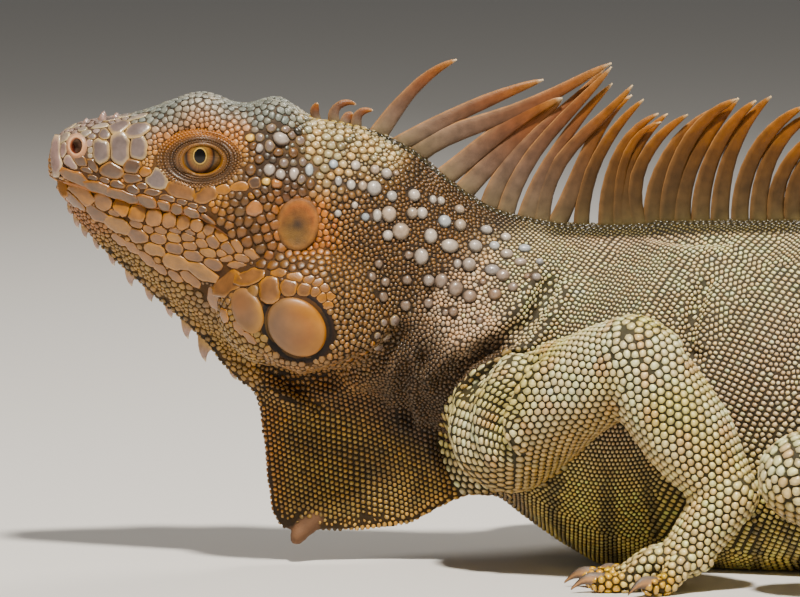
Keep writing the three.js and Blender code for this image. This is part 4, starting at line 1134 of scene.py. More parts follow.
JOWL_BUMPS = [
    (1385, 572, 42, 42, 0, "mauve"), (1310, 590, 27, 27, 0, "mauve"), (1332, 686, 42, 42, 0, "mauve"),
    (1270, 756, 40, 40, 0, "mauve"), (1264, 682, 26, 26, 0, "mauve"), (1170, 800, 34, 34, 0, "tan"),
    (1065, 850, 32, 32, 0, "tan"), (1230, 738, 20, 20, 0, "tan"), (950, 886, 26, 26, 0, "tan"),
    (1306, 405, 36, 38, 0, "dusk"), (1476, 286, 38, 38, 0, "dusk"), (1466, 466, 40, 40, 0, "dusk"),
    (1320, 300, 36, 38, 0, "dusk"), (1228, 262, 32, 36, 0, "dusk"), (1276, 170, 34, 34, 0, "dusk"),
    (1490, 110, 34, 34, 0, "dusk"),
]
# pearly tubercles of the neck
TUBERCLES = [
    (362, 730, 36, 38), (422, 660, 27, 28), (250, 712, 22, 26), (306, 718, 22, 26), (450, 768, 26, 28),
    (558, 765, 30, 32), (366, 640, 24, 26), (272, 618, 24, 26), (164, 612, 22, 24), (188, 694, 17, 26),
    (436, 856, 36, 40), (378, 862, 22, 32), (549, 852, 27, 30), (597, 852, 28, 30), (650, 786, 18, 24),
    (690, 792, 20, 24), (494, 940, 42, 42), (430, 960, 26, 26), (640, 964, 32, 38), (708, 892, 32, 32),
    (784, 912, 30, 32), (734, 1012, 44, 34), (595, 1064, 35, 40), (536, 1066, 24, 30), (858, 1014, 34, 32),
    (912, 936, 30, 24), (780, 835, 26, 26), (1008, 970, 26, 24), (952, 1012, 26, 24), (1100, 1024, 32, 22),
    (1012, 1052, 32, 26), (1080, 1092, 32, 22), (828, 1105, 34, 34), (772, 1100, 20, 24),
    (942, 1130, 38, 28), (994, 1156, 34, 30), (1174, 1092, 20, 18), (1114, 1160, 17, 16),
    (1158, 1164, 24, 20), (1044, 1214, 26, 24), (896, 1186, 16, 16), (694, 1182, 34, 36),
    (630, 1180, 28, 28), (762, 1220, 36, 38), (832, 1258, 34, 30), (955, 1248, 32, 28), (630, 1292, 24, 24),
    (712, 1336, 16, 16), (752, 1334, 22, 22), (470, 656, 16, 16), (515, 1300, 28, 28), (880, 1378, 18, 18),
    (320, 870, 20, 20), (186, 852, 18, 18), (268, 812, 16, 18), (455, 1370, 28, 32), (524, 1178, 26, 26),
    (400, 1250, 26, 26),
]
# round and smooth places that no scale grows on: column, row, half length, half width, direction
CHEEK_DISC = (296.8, 327.0, 33.1, 26.6, -45)
# the ring round the cheek plate is a dark sheet of painted shade in the groove round it
CHEEK_SHADE_RING = (297.2, 326.4, 41.5, 35.0, -45)
EAR_DISC = (298, 224, 25, 20, 80)
NOSTRIL_DISC = (76.4, 146, 14.6, 11.4, 90)
LID_DISC = (199, 159, 45.5, 30, 0)
JOWL_DISC = (247.6, 310.8, 24.4, 15.0, -68)
LOBE_DISC = (304, 531, 19, 9, 42)
BARE = [CHEEK_SHADE_RING, JOWL_DISC, EAR_DISC, NOSTRIL_DISC, LID_DISC]
MOUTH_CLEAR = {"beside": 0.55, "up to": 0.97}  # mm from the line of the mouth, and share of it


def cut_rows(cut, rows):
    """Rows given in an enlarged cut, as places and sizes in the whole view."""
    given = CUTS[cut]
    return [
        (given["column"] + x / given["times"], given["row"] + y / given["times"],
         long / given["times"], wide / given["times"], turn) for x, y, long, wide, turn, *_ in rows
    ]


def view_sites(rows, kind, high, tints=None, rims=None):
    """Sites at places in view: on the left side, and mirrored on the right."""
    made = []
    scale = CAMERA["mm_per_pixel"]
    for number, (column, row, long, wide, turn) in enumerate(rows):
        found = through_view(column, row)
        if found is None:
            continue
        at, normal = found
        along = np.array([math.cos(math.radians(turn)), 0, math.sin(math.radians(turn))])
        looks = {} if tints is None else {"tint": tints[number], "rim": rims[number]}
        for mirror in (1, MIRROR):
            made.append(sites(at * mirror, normal * mirror, along * mirror, long * scale, kind,
                              wide=wide * scale, high=high, fixed=1.0, **looks))
    return together(made)


def within(points, disc, grow=1.0, beside=7):
    """Which places lie inside an ellipse in view, seen from either side."""
    column, row, long, wide, turn = disc
    away = view_place(points) - (column, row)
    c, s = math.cos(math.radians(turn)), math.sin(math.radians(turn))
    u = (away[:, 0] * c - away[:, 1] * s) / (long * grow)
    v = (away[:, 0] * s + away[:, 1] * c) / (wide * grow)
    return (u * u + v * v < 1) & (np.abs(points[:, 1]) > beside)


def clear_of_bare(group):
    """Drops the loose sites on the eyelids, ear, nostril and cheek plate, and in the line of the mouth."""
    points = group["at"]
    bare = np.zeros(len(points), bool)
    for disc in BARE:
        bare |= within(points, disc)
    bare |= within(points, LOBE_DISC, beside=-1)
    distance, share = line_distance(view_place(points), mouth_line())
    by_mouth = (distance < MOUTH_CLEAR["beside"] + 0.5 * group["long"]) & (share < MOUTH_CLEAR["up to"])
    bare |= by_mouth & (points[:, 0] < MOUTH[-1][0])
    return chosen(group, ~bare | (group["fixed"] > 0.5))


# size of the finer scales of the head: places in view, reach in pixels, and half size in mm there
NAPE = (352, 148, 62, 44, -12)  # an ellipse in view where the scales are round, pale and of many sizes
NAPE_RANGE = (0.5, 1.3)
HEAD_SIZES = [
    (75, 122, 18, 0.9), (105, 122, 18, 1.0), (60, 165, 12, 0.8), (165, 112, 24, 1.2), (205, 105, 26, 1.25),
    (245, 110, 22, 1.2), (200, 128, 20, 0.62), (150, 165, 12, 0.6), (199, 160, 45, 0.5),
    (245, 160, 14, 0.75), (262, 160, 16, 1.1), (285, 150, 25, 1.25), (300, 190, 20, 1.2),
    (255, 200, 18, 1.35), (240, 215, 22, 1.55), (265, 235, 22, 1.7), (275, 260, 25, 1.65),
    (310, 262, 25, 1.25), (330, 225, 22, 0.9), (298, 224, 22, 0.6), (255, 258, 16, 1.7),
    (200, 255, 30, 1.5), (170, 245, 40, 1.3), (120, 240, 20, 0.8), (340, 290, 30, 0.82),
    (350, 330, 30, 0.82), (375, 300, 35, 0.74), (300, 365, 30, 0.82), (250, 345, 28, 0.95),
    (215, 335, 24, 0.95), (165, 290, 24, 0.85), (130, 250, 24, 0.8), (80, 210, 16, 0.8),
    (335, 150, 38, 1.3), (310, 130, 20, 1.2), (350, 118, 20, 1.25), (390, 165, 26, 0.95),
    (400, 205, 30, 0.68), (450, 235, 32, 0.66), (430, 275, 30, 0.66), (400, 320, 30, 0.62),
    (480, 285, 30, 0.7), (520, 260, 30, 0.72), (380, 245, 24, 0.66), (440, 330, 30, 0.66),
    (420, 385, 34, 0.58), (350, 250, 24, 0.72),
]
FILL = {
    "first": SNOUT_TIP - 2, "last": -50, "lowest": 44, "throat": 8, "fan_half": 8, "scatter": 0.6,
    "order": 0.25, "room": 0.85, "high": 0.4,
}


def head_size(points):
    """Half the size of the finer scales at places of the head, from the table around them."""
    seen = view_place(points)
    table = np.array(HEAD_SIZES, float)
    away = np.linalg.norm(seen[:, None, :] - table[None, :, :2], axis=2) / table[None, :, 2]
    weight = np.exp(-(away**2)) + 1e-9
    return (weight * table[None, :, 3]).sum(1) / weight.sum(1)


def face_centres():
    """The middle and the area of each face of the skin."""
    mesh = skin.data
    centres = np.empty(len(mesh.polygons) * 3)
    area = np.empty(len(mesh.polygons))
    mesh.polygons.foreach_get("center", centres)
    mesh.polygons.foreach_get("area", area)
    return centres.reshape(-1, 3) / MM - SHIFT, area


def fill_sites(plates, draws, seed):
    """Scattered sites on the head and neck between the plates, each with room for its size."""
    draw = np.random.default_rng(seed)
    centres, area = face_centres()
    under = body_at(centres[:, 0])[:, 1]
    fan = (centres[:, 2] < under + FILL["throat"]) & (np.abs(centres[:, 1]) < FILL["fan_half"])
    fan &= centres[:, 0] > DEWLAP[1][0]
    head = (centres[:, 0] > FILL["first"]) & (centres[:, 0] < FILL["last"])
    head &= (centres[:, 2] > FILL["lowest"]) & ~fan
    pick = draw.choice(np.flatnonzero(head), draws, p=area[head] / area[head].sum())
    at, normal, _ = on_skin(centres[pick] + draw.normal(scale=FILL["scatter"], size=(draws, 3)))
    size = head_size(at)
    nape = within(at, NAPE)
    size = np.where(nape, size * draw.uniform(*NAPE_RANGE, draws), size)
    order = np.argsort(-size + draw.uniform(-FILL["order"], FILL["order"], draws))
    group = sites(at[order], normal[order], (1.0, 0, 0), size[order], "head", high=FILL["high"])
    return outside_plates(group, plates, FILL["room"])


# how far beyond its own size a plate keeps other scales away, and how far along its normal, in mm
MARGIN, MARGINS = 1.06, {"plate": 1.42, "shield": 1.14}
PLATE_DEPTH = 4
PLATE_SEARCH = {"times": 1.5, "more": 1.0}  # beside the longest plate, how far off a plate can matter


def outside_plates(group, plates, room):
    """Drops the sites that lie on plates, with room for a share of their own size."""
    margin = np.full(len(plates["at"]), MARGIN)
    for name, wider in MARGINS.items():
        margin[of_kind(plates, name)] = wider
    across = unit(np.cross(plates["normal"], plates["along"]))
    along = unit(np.cross(across, plates["normal"]))
    tree = tree_of(plates["at"])
    most = plates["long"].max() * PLATE_SEARCH["times"] + PLATE_SEARCH["more"]
    keep = np.ones(len(group["at"]), bool)
    for i, point in enumerate(group["at"]):
        own = group["long"][i] * room
        for _, j, _ in tree.find_range(point, most):
            away = point - plates["at"][j]
            u = (away @ along[j]) / (plates["long"][j] * margin[j] + own)
            v = (away @ across[j]) / (plates["wide"][j] * margin[j] + own)
            if u * u + v * v < 1 and abs(away @ plates["normal"][j]) < PLATE_DEPTH:
                keep[i] = False
                break
    return chosen(group, keep)


GAP_FILL = {
    "draws": 200000, "bare": 0.66, "closest": 0.84, "room": 0.8, "over_floor": 0.3,
    "by_plates": {"long": 0.5, "wide": 0.5, "high": 0.2},
}
KEPT_ROOM = 0.5


def gap_sites(group, seed):
    """New sites where the skin still lies bare, of the nearest site's size and kind."""
    draw = np.random.default_rng(seed)
    centres, area = face_centres()
    pick = draw.choice(len(centres), GAP_FILL["draws"], p=area / area.sum())
    points = centres[pick]
    tree = tree_of(group["at"])
    size = half_size(group)
    nearest, distance = np.empty(len(points), int), np.empty(len(points))
    for i, point in enumerate(points):
        _, nearest[i], distance[i] = tree.find(point)
    bare = distance > GAP_FILL["bare"] * 2 * size[nearest]
    by_plate = of_kind(chosen(group, nearest), "plate", "shield", "bump", "pearl")
    low = points[:, 2] < SKIN["lowest"] + GAP_FILL["over_floor"]
    wanted = (bare | by_plate) & ~low
    points, nearest, by_plate = points[wanted], nearest[wanted], by_plate[wanted]
    more = chosen(group, nearest)
    more["at"], more["normal"], _ = on_skin(points)
    more["fixed"] = np.zeros(len(points))
    more["kind"][by_plate] = KIND["head"]
    for key, size in GAP_FILL["by_plates"].items():
        more[key][by_plate] = size
    more = outside_plates(more, chosen(group, group["fixed"] > 0.5), GAP_FILL["room"])
    closest = np.repeat([KEPT_ROOM, GAP_FILL["closest"]], [len(group["at"]), len(more["at"])])
    return clear_of_bare(thinned(together([group, more]), closest))


# ---------------------------------------------------------------- colours
PALETTE_255 = {
    "snout": (140, 122, 114), "snout tan": (184, 136, 86), "crown": (126, 128, 118),
    "crown pale": (156, 154, 142), "brow": (196, 126, 68), "lid": (168, 120, 68), "jaw": (150, 98, 38),
    # the dark brown behind the eye (temple) is the skin's own brown with painted shadow
    "jaw mauve": (118, 86, 60), "throat": (150, 116, 62), "cheek": (102, 70, 38), "temple": (60, 47, 36),
    "ear": (178, 110, 42), "jowl": (142, 104, 62), "jowl rear": (122, 92, 58), "neck": (108, 77, 42),
    # the darker neck brown on the next line is painted shade where it lies along the neck's folds
    "neck dark and shade": (88, 66, 42), "neck front": (136, 98, 60), "cream": (188, 168, 128),
    "flank": (252, 228, 180), "flank rose": (230, 198, 166), "belly": (240, 214, 122),
    "olive": (104, 92, 54), "band": (150, 122, 80), "dewlap": (170, 138, 78),
    "dewlap front": (176, 116, 54), "dewlap dark": (104, 78, 44), "arm": (254, 236, 186),
    # the legs' tan on the next line, laid where they face down, is partly painted shade
    "arm green": (216, 202, 116), "arm tan and shade": (178, 144, 84), "salmon": (214, 156, 104),
    "palm": (226, 176, 104), "finger": (250, 224, 164), "finger tip": (232, 178, 30),
    "tail": (186, 160, 108), "tail dark": (84, 66, 46), "lobe": (104, 78, 60), "pearl": (184, 174, 164),
    "pearl warm": (166, 148, 130), "pearl blue": (174, 178, 180), "pearl brown": (120, 98, 82),
}
PALETTE = {name: srgb(*colour) for name, colour in PALETTE_255.items()}
# middle and rim of each finish of plate
# pale rims are the plates' own borders; a rim darker than its middle, as on the round bumps, is painted shade
PLATE_COLOURS_255 = {
    "mauve": ((112, 98, 94), (208, 178, 128)), "rose": ((150, 126, 120), (210, 184, 150)),
    "chalk": ((154, 140, 128), (216, 196, 150)), "umber": ((90, 68, 52), (178, 128, 74)),
    "tan": ((150, 102, 46), (180, 124, 54)), "mauve tan": ((124, 86, 54), (174, 120, 54)),
    "gold": ((158, 112, 48), (182, 128, 50)), "cream": ((224, 188, 118), (168, 116, 60)),
    "amber": ((164, 112, 72), (136, 90, 52)), "pearl": ((178, 166, 156), (116, 100, 88)),
    "ice": ((184, 190, 190), (130, 124, 118)), "lip": ((112, 82, 54), (174, 114, 54)),
    "dusk": ((122, 104, 90), (92, 74, 56)),
}
PLATE_COLOURS = {name: [srgb(*colour) for colour in both] for name, both in PLATE_COLOURS_255.items()}
# colour regions of the head: place and reach in view, and the colour there
# the temple spots behind the eye are painted shadow over the skin's own brown
HEAD_COLOURS = [
    (75, 125, 20, "snout"), (62, 168, 16, "snout tan"), (105, 118, 22, "snout"),
    (100, 172, 14, "snout tan"), (150, 118, 18, "crown"), (168, 108, 22, "crown"),
    (200, 104, 24, "crown pale"), (245, 108, 22, "crown"), (150, 165, 12, "snout tan"),
    (200, 126, 16, "brow"), (165, 138, 12, "brow"), (235, 132, 12, "brow"), (200, 160, 30, "lid"),
    (240, 160, 12, "lid"), (272, 160, 20, "temple"), (285, 130, 18, "crown"), (295, 185, 18, "temple"),
    (250, 185, 14, "temple"), (165, 190, 14, "jaw mauve"), (255, 212, 20, "cheek"), (298, 224, 25, "ear"),
    (320, 235, 18, "ear"), (300, 262, 22, "cheek"), (250, 245, 25, "cheek"), (190, 240, 30, "jaw"),
    (130, 205, 30, "jaw"), (80, 190, 20, "jaw"), (120, 262, 22, "throat"), (175, 300, 30, "throat"),
    (230, 345, 30, "throat"), (210, 285, 24, "jaw mauve"), (335, 280, 28, "jowl"), (345, 325, 28, "jowl"),
    (300, 370, 28, "jowl"), (375, 335, 24, "jowl rear"), (385, 290, 24, "jowl rear"),
    (345, 225, 18, "neck front"), (365, 250, 18, "neck"), (340, 185, 20, "neck front"),
    (335, 130, 26, "cream"), (380, 150, 18, "cream"), (330, 165, 20, "cream"), (400, 215, 24, "neck"),
    (430, 195, 24, "neck"), (400, 270, 26, "neck"), (450, 250, 26, "neck"), (480, 280, 24, "flank rose"),
    # the darker neck spots are painted shade where they lie along the folds before the shoulder
    (520, 270, 30, "flank"), (400, 345, 22, "neck dark and shade"), (428, 350, 24, "neck dark and shade"),
    (460, 320, 24, "flank rose"), (420, 168, 16, "neck dark and shade"), (455, 193, 16, "neck dark and shade"),
    (500, 218, 18, "neck dark and shade"), (484, 352, 13, "neck dark and shade"), (452, 384, 18, "neck dark and shade"),
]
VIVID = 1.25  # how far colours lie from grey beside the given ones, because strong light pales them
LUMINANCE = np.array([0.3, 0.59, 0.11])


def vivid(colour):
    return np.clip(mix((colour @ LUMINANCE)[..., None], colour, VIVID), 0.002, 0.95)


WARMTH = 0.3  # how much the warmth of scales varies beside their lightness


def varied(colour, amount, draw):
    """A colour for each site: lighter or darker, and a little warmer or cooler."""
    light = 1 + amount * draw.normal(size=(len(colour), 1))
    warm = 1 + WARMTH * amount * draw.normal(size=(len(colour), 1)) * np.array([[1, 0, -1]])
    return np.clip(colour * light * warm, 0.01, 0.95)


def blended(points, spots):
    """The colour at places from coloured spots in view, seen from either side."""
    seen = view_place(points)
    place = np.array([spot[:2] for spot in spots], float)
    reach = np.array([spot[2] for spot in spots], float)
    colours = np.array([PALETTE[spot[3]] for spot in spots])
    away = np.linalg.norm(seen[:, None, :] - place[None], axis=2) / reach[None]
    weight = np.exp(-(away**2)) + 1e-9 / (1 + away**2)
    return (weight[..., None] * colours[None]).sum(1) / weight.sum(1)[:, None]


# soft clouds of a colour: its most, the swell of noise where it starts and where it is full, size, seed
CLOUDS = {
    "flank rose": (0.7, -0.1, 0.9, 50, 4), "arm green": (0.75, -0.4, 0.9, 34, 12),
    "salmon": (0.5, 0.3, 1.0, 15, 14), "dewlap dark": (0.5, 0.1, 0.9, 30, 9),
}
# stripes across the body: the way from one to the next over a full turn, how far noise bends them, its size
# and seed, and the values between which a stripe comes up
STRIPES = {
    "olive": (2.3, 2.0, 70, 15, 0.2, 0.9), "band": (9.5, 0.6, 60, 5, 0.1, 0.8),
    "tail dark": (13.0, 0.4, 40, 6, -0.1, 0.5),
}
BODY_SHADES = {"amount": 0.10, "size": 34, "seed": 8}
BELLY = {"from": 0.48, "to": 0.2, "most": 0.85}  # shares of the body's height
OLIVE = {"from": 0.42, "to": 0.2, "most": 0.75}
BANDS_MOST = 0.55
# stations between which a part of the body's colour comes up or goes
BODY_TURNS = {
    "bands": (60, 130), "crown comes": (-100, -80), "crown goes": (320, 240), "tail": (170, 240),
    "neck": (-25, -50), "behind the head": (-52, -36),
}
CROWN_HEIGHTS = (5.5, 3.5)  # mm below the line of the back
# the throat fan: by place along it, height, and mm over its edge and under the throat
FAN_TURNS = {
    "front": (-116, -127), "low": (60, 50), "throat": (-128, -136), "edge": (4.5, 1.5),
    "edge comes": (-118, -110), "top": (-16, -2),
}
# a leg: by how far its skin faces up, and by mm from the ankle, the ball of the foot and the tips
LEG_TURNS = {
    "under": (-0.25, -0.75), "palm": (30, 14), "palm under": (0.3, -0.4), "finger": (46, 22), "tip": (12, 4),
}
PEARL_TURNS = {"warm": 0.3, "blue": 0.8, "low": (112, 96)}  # shares of the pearls, and heights


def clouds(points, name, share=1.0):
    """How much of a clouded colour there is at each place."""
    most, low, high, size, seed = CLOUDS[name]
    return most * (smooth_step(low, high, ripple(points, size, seed)) * share)


def stripes(points, station, name):
    """How much of a striped colour there is at each place."""
    long, bent, size, seed, low, high = STRIPES[name]
    return smooth_step(low, high, np.sin(station / long + bent * ripple(points, size, seed)))


def faded(colour, name, share):
    """A colour turning to one of the palette by a share for each place."""
    return mix(colour, PALETTE[name], np.asarray(share)[:, None])


def body_colour(points):
    """Cream beads on the flank, olive under the crest and on the belly, brown bands on the rump and tail."""
    station = nearest_station(points)
    top, under = body_at(station)[:, :2].T
    height = (points[:, 2] - under) / (top - under)
    colour = np.tile(PALETTE["flank"], (len(points), 1))
    colour = faded(colour, "flank rose", clouds(points, "flank rose"))
    colour = faded(colour, "belly", BELLY["most"] * smooth_step(BELLY["from"], BELLY["to"], height))
    olive = OLIVE["most"] * stripes(points, station, "olive")
    colour = faded(colour, "olive", olive * smooth_step(OLIVE["from"], OLIVE["to"], height))
    band = stripes(points, station, "band")
    colour = faded(colour, "band", band * smooth_step(*BODY_TURNS["bands"], station) * BANDS_MOST)
    crown = smooth_step(*CROWN_HEIGHTS, top - points[:, 2]) * smooth_step(*BODY_TURNS["crown comes"], station)
    colour = faded(colour, "olive", crown * smooth_step(*BODY_TURNS["crown goes"], station))
    tail = smooth_step(*BODY_TURNS["tail"], station)
    rings = stripes(points, station, "tail dark")
    colour = mix(colour, faded(np.tile(PALETTE["tail"], (len(points), 1)), "tail dark", rings), tail[:, None])
    neck = smooth_step(*BODY_TURNS["neck"], station)[:, None]
    colour = mix(colour, blended(points, HEAD_COLOURS), neck)
    shades = ripple(points, BODY_SHADES["size"], BODY_SHADES["seed"])
    return colour * (1 + BODY_SHADES["amount"] * shades[:, None])


def head_colour(points):
    """The head's own colours, turning to the body's behind the neck."""
    colour = blended(points, HEAD_COLOURS)
    behind = smooth_step(*BODY_TURNS["behind the head"], points[:, 0])
    return mix(colour, body_colour(points), behind[:, None])


def dewlap_colour(points):
    """Tan with darker clouds, warmer in front, pale at the edge, running into the colours of the throat."""
    front = smooth_step(*FAN_TURNS["front"], points[:, 0]) * smooth_step(*FAN_TURNS["low"], points[:, 2])
    colour = faded(np.tile(PALETTE["dewlap"], (len(points), 1)), "dewlap front", 0.8 * front)
    colour = faded(colour, "throat", smooth_step(*FAN_TURNS["throat"], points[:, 0]))
    colour = faded(colour, "dewlap dark", clouds(points, "dewlap dark", 1 - front))
    rim = smooth_step(*FAN_TURNS["edge"], points[:, 2] - dewlap_at(points[:, 0])[:, 0])
    colour = faded(colour, "palm", 0.8 * (rim * smooth_step(*FAN_TURNS["edge comes"], points[:, 0])))
    under = body_at(points[:, 0])[:, 1]
    top = smooth_step(*FAN_TURNS["top"], points[:, 2] - under)[:, None]
    rear = np.linalg.norm(view_place(points) - FAN_REAR[:2], axis=1) / FAN_REAR[2]
    colour = mix(colour, blended(points, HEAD_COLOURS), top)
    return faded(colour, "palm", 0.8 * np.exp(-(rear**2)))


FAN_REAR = (466, 490, 22)  # where the throat fan runs into the chest: column, row and reach in view


def leg_colour(limbs, points):
    """Cream with green and rose clouds, tan below with painted shade, pale on the palm, yellow towards the
    claws.
    """
    tips = np.array([limb.points[-1] for name, limb in limbs.items() if name.startswith("digit")])
    near = np.linalg.norm(points[:, None, :] - tips[None], axis=2).min(1)
    foot = np.linalg.norm(points - limbs["foot"].points[-1], axis=1)
    ankle = np.linalg.norm(points - limbs["foot"].points[0], axis=1)
    colour = np.tile(PALETTE["arm"], (len(points), 1))
    for name in ("arm green", "salmon"):
        colour = faded(colour, name, clouds(points, name))
    _, normals, _ = on_skin(points)
    # darker tan where the skin faces down: partly painted shade of the undersides
    colour = faded(colour, "arm tan and shade", 0.85 * smooth_step(*LEG_TURNS["under"], normals[:, 2]))
    palm = smooth_step(*LEG_TURNS["palm"], ankle) * smooth_step(*LEG_TURNS["palm under"], normals[:, 2])
    colour = faded(colour, "palm", palm)
    colour = faded(colour, "finger", smooth_step(*LEG_TURNS["finger"], foot))
    return faded(colour, "finger tip", 0.9 * smooth_step(*LEG_TURNS["tip"], near))


def pearl_colour(points, draw):
    """Grey pearls, some of them warmer or bluer."""
    pick = draw.uniform(size=len(points))
    colour = np.tile(PALETTE["pearl"], (len(points), 1))
    colour = faded(colour, "pearl warm", pick < PEARL_TURNS["warm"])
    colour = faded(colour, "pearl blue", pick > PEARL_TURNS["blue"])
    return faded(colour, "pearl brown", 0.8 * smooth_step(*PEARL_TURNS["low"], points[:, 2]))


# ---------------------------------------------------------------- scales from sites
# rows of each scale from its edge inwards: share of its reach, height, shade, and share of the rim's colour
# the shade column is painted shade: darkest at the sunk edge where the seam lies, a little light at the top
BEAD = [(1.0, -0.35, 0.25, 1.0), (0.85, 0.66, 0.86, 0.5)]
ROUND = [(1.0, -0.3, 0.25, 1.0), (0.93, 0.38, 0.7, 0.6), (0.68, 0.86, 1.0, 0.1)]
COBBLE = [(1.0, -0.35, 0.25, 1.0), (0.93, 0.66, 0.9, 0.7)]
SHIELD = [(1.0, -0.3, 0.3, 1.0), (0.95, 0.45, 0.90, 0.9), (0.74, 0.88, 1.0, 0.2)]
PLATE = [(1.0, -0.35, 0.34, 1.0), (0.97, 0.30, 0.95, 1.0), (0.89, 0.66, 1.0, 0.5), (0.66, 0.92, 1.0, 0.0)]
DOME = [(1.0, -0.35, 0.25, 1.0), (0.98, 0.2, 0.6, 0.8), (0.88, 0.52, 0.85, 0.4), (0.66, 0.8, 1.0, 0.0),
        (0.36, 0.96, 1.05, 0.0)]
# the middle of each scale is a little lighter than its tint: painted highlight
TOP_HIGHLIGHT = 1.05
# for each kind: corners, rows, gap in mm, farthest reach, finish, record slot, and colour of the skin
# between
LOOKS = {
    "plate": (18, PLATE, 0.14, 1.75, "plates", "head_scales", srgb(70, 46, 28)),
    "shield": (14, PLATE, 0.15, 1.62, "plates", "head_scales", srgb(58, 38, 22)),
    "head": (8, SHIELD, 0.12, 2.3, "beads", "head_scales", srgb(58, 40, 24)),
    "bump": (14, ROUND, 0.24, 1.12, "pearl", "head_scales", srgb(62, 46, 34)),
    "pearl": (16, DOME, 0.0, 1.06, "pearl", "neck_scales", srgb(70, 52, 38)),
    "nape": (9, ROUND, 0.12, 1.35, "pearl", "neck_scales", srgb(88, 66, 42)),
    "lid": (7, BEAD, 0.16, 1.3, "beads", "head_scales", srgb(90, 60, 34)),
    "neck": (8, COBBLE, 0.20, 1.8, "beads", "neck_scales", srgb(36, 26, 16)),
    "root": (10, ROUND, 0.2, 1.2, "gloss", "body_scales", srgb(40, 34, 20)),
    "trunk": (6, BEAD, 0.34, 1.45, "gloss", "body_scales", srgb(18, 13, 8)),
    "tail": (7, BEAD, 0.4, 1.35, "beads", "tail_scales", srgb(30, 24, 18)),
    "dewlap": (7, BEAD, 0.40, 1.4, "beads", "dewlap_scales", srgb(24, 16, 9)),
    "leg": (9, COBBLE, 0.44, 1.6, "gloss", "leg_scales", srgb(20, 18, 10)),
}
SOFTER_CORNERS = 0.45
LEAST_REACH = 0.3  # of the smaller half size
NEIGHBOURS = 10


def frames_of(group):
    across = unit(np.cross(group["normal"], group["along"]))
    return np.cross(across, group["normal"]), across


def cell_reach(group, members, near, rays, gap, cap):
    """How far each scale reaches along each ray: half way to its neighbours, in their own sizes."""
    along, across = frames_of(group)
    long, wide, at = group["long"], group["wide"], group["at"]
    angle = circle(rays, 0.5)
    c, s = np.cos(angle), np.sin(angle)
    own = (c / long[members][:, None]) ** 2 + (s / wide[members][:, None]) ** 2
    ray = c[None, :, None] * along[members][:, None, :] + s[None, :, None] * across[members][:, None, :]
    reach = cap / np.sqrt(own)
    for k in range(NEIGHBOURS if gap else 0):
        j = near[members, k]
        away = at[j] - at[members]
        axes = ((along[j], long[j]), (across[j], wide[j]))
        ray_there = [np.einsum("nrk,nk->nr", ray, axis) / size[:, None] for axis, size in axes]
        away_there = [(np.einsum("nk,nk->n", away, axis) / size)[:, None] for axis, size in axes]
        qa = own - ray_there[0] ** 2 - ray_there[1] ** 2
        qb = ray_there[0] * away_there[0] + ray_there[1] * away_there[1]
        qc = away_there[0] ** 2 + away_there[1] ** 2
        under = qb**2 + qa * qc
        bottom = qb + np.sqrt(np.maximum(under, 0))
        hit = (under >= 0) & (bottom > 1e-6)
        reach = np.where(hit, np.minimum(reach, qc / np.where(hit, bottom, 1)), reach)
    softer = np.minimum(reach, (np.roll(reach, 1, 1) + np.roll(reach, -1, 1)) / 2 * 1.02)
    reach = mix(reach, softer, SOFTER_CORNERS)
    least = LEAST_REACH * np.minimum(long, wide)[members][:, None]
    return np.maximum(reach - gap / 2, least), c, s


JITTER = 0.10  # how much scales vary in height


